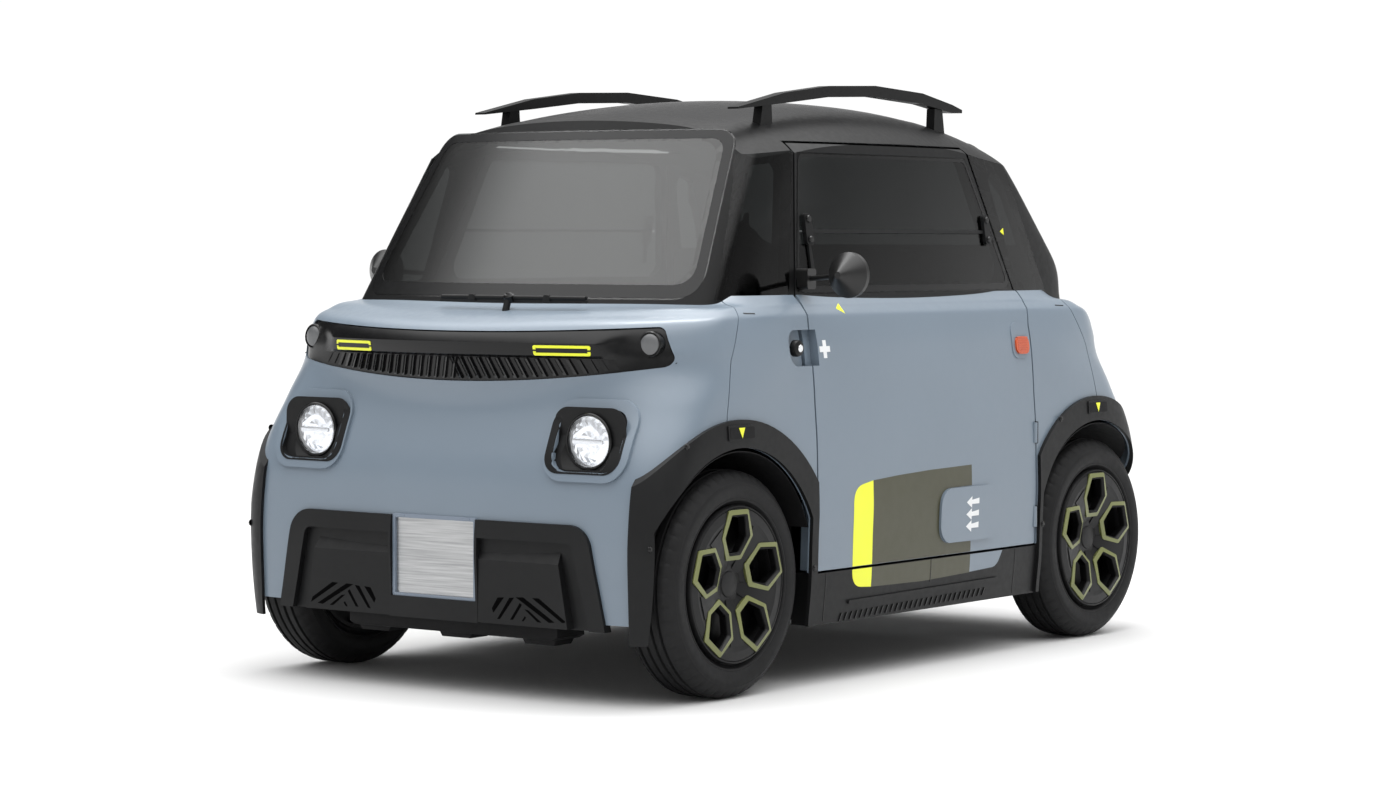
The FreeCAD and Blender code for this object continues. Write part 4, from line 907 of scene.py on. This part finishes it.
BORDER_SINK = 0.0004
SCREEN_PANE = [(-0.545, 0.966), (0.545, 0.966), (0.474, 1.392), (-0.474, 1.392)]
TAIL_PANE = [(-0.520, 1.070), (0.520, 1.070), (0.450, 1.384), (-0.450, 1.384)]
screen_tree = tree_of("windscreen", "front_pillars")
ringed("screen_border", SCREEN_PANE, 0.055, [0.004, 0.003, 0.003, 0.003], [0.036, 0.026, 0.024, 0.026], screen_tree,
       (0, 1, 0), GLOSS, "body", 0.0006)
tail_tree = tree_of("rear_window", "rear_pillars")
ringed("tail_border", TAIL_PANE, 0.055, 0.003, 0.030, tail_tree, (0, -1, 0), GLOSS, "body", 0.0006)
quarter_tree = tree_of("quarter_glass", "front_pillars", "rear_pillars")
for sign, side in SIDES:
    mark = [(0.5365, 1.1377), (0.5545, 1.1285), (0.5545, 1.1470)]
    laid("quarter_mark_" + side, mark, quarter_tree, (-sign, 0, 0), YELLOW, lift=0.0012)


DOOR_PANE = [(-0.483, 0.977), (0.565, 0.977), (0.390, 1.336), (-0.408, 1.336)]
for sign, side in SIDES:
    door = "door_" + side
    way = (-sign, 0, 0)
    glass_tree = tree_of(door + "_glass", door + "_frame")
    turn = (lambda y: y) if side == "left" else (lambda y: TURN_SUM - y)
    pane = [(turn(y), z) for y, z in DOOR_PANE]
    ringed(door + "_border", pane, 0.030, 0.004, [0.020, 0.012, 0.012, 0.012], glass_tree, way, GLOSS, door, 0.0008)
    strip = [(turn(-0.425), 1.1315), (turn(0.470), 1.1315), (turn(0.470), 1.1405), (turn(-0.425), 1.1405)]
    laid(door + "_split_strip", strip, glass_tree, way, BLACK, door, lift=0.0045)
    for k, (y, low, high) in enumerate(((-0.407, 1.101, 1.181), (0.450, 1.101, 1.182))):
        y = turn(y)
        base = rounded([(y - 0.016, low), (y + 0.016, low), (y + 0.013, high), (y - 0.013, high)], 0.011)
        laid("%s_clip_%d" % (door, k), base, glass_tree, way, BLACK, door, lift=0.010, sink=0.001)
        for m, z in enumerate((low + 0.014, high - 0.014)):
            hit = glass_tree.ray_cast(Vector((sign * 2, y, z)), Vector(way))[0]
            knob = [(0, 0.0155), (0.0075, 0.015), (0.0095, 0.012), (0.0095, -0.002), (0, -0.002)]
            lathe("%s_clip_knob_%d_%d" % (door, k, m), knob, hit, (sign, 0, 0), 24, GLOSS, door)
    strap = [(turn(-0.414), 1.043), (turn(-0.400), 1.043), (turn(-0.403), 1.104), (turn(-0.413), 1.104)]
    laid(door + "_clip_strap", strap, glass_tree, way, BLACK, door, lift=0.006)
blade = rounded([(-0.166, 0.9565), (0.306, 0.9565), (0.306, 0.9640), (-0.166, 0.9640)], 0.002, 2)
slab("wiper_blade", blade, "Y", -0.9655, -0.9605, BLACK, "body", 0.0008)
for k, x in enumerate((-0.06, 0.06, 0.18)):
    claw = rounded([(x - 0.013, 0.959), (x + 0.013, 0.959), (x + 0.008, 0.976), (x - 0.008, 0.976)], 0.003, 2)
    slab("wiper_claw_%d" % k, claw, "Y", -0.9695, -0.9605, BLACK, "body", 0.001)
lathe("wiper_cap", [(0, 0.010), (0.010, 0.009), (0.014, 0.004), (0.014, -0.012), (0, -0.012)],
      (0.060, -0.9665, 0.969), Vector((0, -0.35, 0.93)).normalized(), 28, GLOSS)


# Black bezels and bowls round the lamps, wider on the side towards the middle of the car.
BEZEL_X, BEZEL_Z, COLLAR_R = 0.4367, 0.6325, 0.0686
for end, way, out in ENDS:
    shell = tree_of(end + "_fascia")
    for sign, side in SIDES:
        verts = []
        spokes, rings = 120, 14
        half_wide, half_high, round_by = 0.1095, 0.0795, 0.044
        for k in range(spokes):
            turn_by = 2 * math.pi * k / spokes
            dx, dz = math.cos(turn_by), math.sin(turn_by)
            wall = min(half_wide / max(abs(dx), 1e-6), half_high / max(abs(dz), 1e-6))
            flat_x, flat_z = half_wide - round_by, half_high - round_by
            if wall * abs(dx) > flat_x and wall * abs(dz) > flat_z:
                along = flat_x * abs(dx) + flat_z * abs(dz)
                wall = along + math.sqrt(max(along ** 2 - flat_x ** 2 - flat_z ** 2 + round_by ** 2, 0.0))
            rim = Vector((BEZEL_X + wall * dx, BEZEL_Z + wall * dz))
            collar = Vector((LAMP_X + COLLAR_R * dx, LAMP_Z + COLLAR_R * dz))
            for i in range(rings):
                at = rim.lerp(collar, i / (rings - 1))
                spot = Vector((sign * at.x, out * RAY_RUN, at.y))
                hit = shell.ray_cast(spot, Vector(way))[0]
                y = hit.y if hit and abs(hit.y) > 1.118 else out * 1.1205
                verts.append((spot.x, y + out * 0.0012, spot.z))
                verts.append((spot.x, y - out * 0.0006, spot.z))
        faces = []
        row = 2 * rings
        for k in range(spokes):
            n = (k + 1) % spokes
            for i in range(rings - 1):
                p, q = row * k + 2 * i, row * n + 2 * i
                faces.append([p, p + 2, q + 2, q])
                faces.append([p + 1, q + 1, q + 3, p + 3])
            p, q = row * k, row * n
            faces.append([p, q, q + 1, p + 1])
            p, q = p + row - 2, q + row - 2
            faces.append([p, p + 1, q + 1, q])
        piece("lamp_bowl_%s_%s" % (end, side), verts, faces, BOWL, "body", 35)


# Under the nose: a low tray with three brackets.
tray = [(-0.335, 0.150), (-0.320, 0.142), (0.320, 0.142), (0.335, 0.150), (0.335, 0.182), (-0.335, 0.182)]
slab("nose_tray", tray, "Y", -1.118, -1.010, UNDER, "body", 0.002)
for k, x in enumerate((-0.265, 0.0, 0.265)):
    slab("tray_rib_%d" % k, [(x - 0.045, 0.128), (x + 0.045, 0.128), (x + 0.055, 0.144), (x - 0.055, 0.144)], "Y",
         -1.100, -1.030, UNDER, "body", 0.002)


# Inside: padded seats with headrests, a dash with vents and a screen, and the steering wheel's boss.
def cushion(name, low, high, crown, pinch, seams, face_axis):
    """A foam pad as a rounded box with a crowned face and sewn channels."""
    nx, ny, nz = 40, 40, 10
    verts = []
    faces = []
    size = [high[i] - low[i] for i in range(3)]
    counts = [nx, ny, nz] if face_axis == 2 else [nx, nz, ny]
    index = {}

    def soft_point(u, v, w):
        p = [2 * u - 1, 2 * v - 1, 2 * w - 1]
        powers = 7.0
        big = max(abs(c) for c in p)
        norm = (abs(p[0]) ** powers + abs(p[1]) ** powers + abs(p[2]) ** powers) ** (1 / powers)
        scale = big / norm if norm > 1e-9 else 1.0
        q = [c * scale for c in p]
        out = [low[i] + size[i] * (q[i] + 1) / 2 for i in range(3)]
        face = q[face_axis] if face_axis == 2 else -q[face_axis]
        plane = [i for i in range(3) if i != face_axis]
        if face > 0.2:
            bow = (1 - q[plane[0]] ** 2) * (1 - q[plane[1]] ** 2)
            channel = 0.0
            for axis, at, wide in seams:
                where = q[0 if axis == "x" else plane[1]]
                channel = max(channel, math.exp(-((abs(where) if axis == "x" else where) - at) ** 2 / wide ** 2))
            push = (crown * bow - pinch * channel) * (face - 0.2) / 0.8
            out[face_axis] += push if face_axis == 2 else -push
        return out

    def vert(i, j, k):
        key = (i, j, k)
        if key not in index:
            index[key] = len(verts)
            verts.append(soft_point(i / counts[0], j / counts[1], k / counts[2]))
        return index[key]

    for axis in range(3):
        a, b = [i for i in range(3) if i != axis]
        for side in (0, counts[axis]):
            for i in range(counts[a]):
                for j in range(counts[b]):
                    quad = []
                    for di, dj in ((0, 0), (1, 0), (1, 1), (0, 1)):
                        at = [0, 0, 0]
                        at[axis] = side
                        at[a] = i + di
                        at[b] = j + dj
                        quad.append(vert(*at))
                    faces.append(quad)
    obj = piece(name, verts, faces, SEAT, "body", 60)
    return obj


SEAT_X = 0.270
for sign, side in SIDES:
    middle = sign * SEAT_X
    x0, x1 = middle - 0.210, middle + 0.210
    seams = [("x", 0.62, 0.035), ("y", -0.3, 0.03), ("y", 0.3, 0.03)]
    base = cushion("seat_cushion_" + side, (x0, -0.060, 0.4165), (x1, 0.398, 0.4985), 0.012, 0.006, seams, 2)
    cushion("seat_back_" + side, (x0 + 0.010, 0.3305, 0.500), (x1 - 0.010, 0.3995, 0.935), 0.010, 0.006, seams, 1)
    cushion("headrest_" + side, (x0 + 0.075, 0.3325, 0.952), (x1 - 0.075, 0.3985, 1.0895), 0.008, 0.0, [], 1)
    shell = rounded([(x0 + 0.052, 0.505), (x1 - 0.052, 0.505), (x1 - 0.052, 1.045), (x0 + 0.052, 1.045)], 0.05)
    slab("seat_shell_" + side, shell, "Y", 0.3985, 0.4035, BLACK, "body", 0.002)
    for k, x in enumerate((middle - 0.055, middle + 0.055)):
        post = [(x, 0.372, 0.915), (x, 0.372, 0.95), (x, 0.3721, 0.975)]
        tube("headrest_post_%s_%d" % (side, k), post, 0.0055, CHROME)
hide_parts("seats")

for k, x in enumerate((-0.36, -0.12, 0.12)):
    for m in range(5):
        z = 0.775 + m * 0.013
        vent = [(x - 0.055, z), (x + 0.055, z), (x + 0.055, z + 0.004), (x - 0.055, z + 0.004)]
        slab("dash_vent_%d_%d" % (k, m), vent, "Y", -0.566, -0.5545, GLOSS, "body", 0.0008)
slab("dash_display_hood", rounded([(0.165, 0.905), (0.375, 0.905), (0.350, 0.968), (0.190, 0.968)], 0.018), "Y",
     -0.652, -0.588, BLACK, "body", 0.004)
slab("dash_display", rounded([(0.190, 0.914), (0.350, 0.914), (0.335, 0.958), (0.205, 0.958)], 0.010), "Y",
     -0.589, -0.5865, SCREEN, "body", 0.0006)
aim = Vector((0, math.sin(math.radians(60)), math.cos(math.radians(60))))
lathe("steering_boss", [(0, 0.030), (0.030, 0.028), (0.046, 0.020), (0.050, 0.006), (0.050, -0.006), (0, -0.006)],
      (SEAT_X, -0.330, 0.880), aim, 48, BLACK, "steering_wheel")


# Stage and light.
def floor_stage():
    """A pale floor under the car, wide enough to fill the view."""
    size = 40.0
    mesh = bpy.data.meshes.new("floor")
    corners = ((-1, -1), (1, -1), (1, 1), (-1, 1))
    mesh.from_pydata([(x * size, y * size, -0.0004) for x, y in corners], [], [[0, 1, 2, 3]])
    obj = bpy.data.objects.new("floor", mesh)
    bpy.context.scene.collection.objects.link(obj)
    mat, tree, shader = material("floor_pale", (0.58, 0.58, 0.58), 0.8, Specular_IOR_Level=0.2)
    tinted(tree, shader, noise(tree, 0.8), (0.60, 0.60, 0.60), (0.615, 0.615, 0.615))
    mesh.materials.append(mat)


def lamp(name, at, target, size, power):
    data = bpy.data.lights.new(name, "AREA")
    data.shape = "RECTANGLE"
    data.size, data.size_y = size
    data.energy = power
    obj = bpy.data.objects.new(name, data)
    obj.location = at
    obj.rotation_euler = (Vector(target) - Vector(at)).to_track_quat("-Z", "Y").to_euler()
    bpy.context.scene.collection.objects.link(obj)


floor_stage()
lamp("overhead", (0.2, 0.1, 4.4), (0, 0, 0.5), (1.2, 3.0), 110)
world = bpy.data.worlds.new("studio")
world.use_nodes = True
sky = world.node_tree
background = sky.nodes["Background"]
where = sky.nodes.new("ShaderNodeTexCoord").outputs["Generated"]
split = sky.nodes.new("ShaderNodeSeparateXYZ")
sky.links.new(where, split.inputs["Vector"])


def sky_range(source, from_low, from_high, to_low, to_high):
    """A smooth step of one value of the sky."""
    made = sky.nodes.new("ShaderNodeMapRange")
    made.interpolation_type = "SMOOTHSTEP"
    for key, number in (("From Min", from_low), ("From Max", from_high), ("To Min", to_low), ("To Max", to_high)):
        made.inputs[key].default_value = number
    sky.links.new(source, made.inputs["Value"])
    return made.outputs["Result"]


def sky_math(operation, one, two):
    made = sky.nodes.new("ShaderNodeMath")
    made.operation = operation
    for k, value in enumerate((one, two)):
        if isinstance(value, float):
            made.inputs[k].default_value = value
        else:
            sky.links.new(value, made.inputs[k])
    return made.outputs["Value"]


near = sky_range(split.outputs["Z"], 0.11, 0.22, 1.03, 0.42)
high = sky_range(split.outputs["Z"], 0.40, 0.85, 0.0, 2.5)
rise = sky_math("ADD", near, high)
# A dark panel high on the car's right, which the left part of the screen mirrors.
beside = sky_range(split.outputs["X"], -0.90, -0.66, 1.0, 0.0)
above = sky_range(split.outputs["Z"], 0.10, 0.20, 0.0, 1.0)
panel_dark = sky_math("MULTIPLY", beside, above)
keep_light = sky_math("SUBTRACT", 1.0, sky_math("MULTIPLY", panel_dark, 0.86))
sky.links.new(sky_math("MULTIPLY", rise, keep_light), background.inputs["Strength"])
background.inputs["Color"].default_value = (1.0, 1.0, 1.0, 1)
bpy.context.scene.world = world
bpy.context.scene.view_settings.view_transform = "Standard"
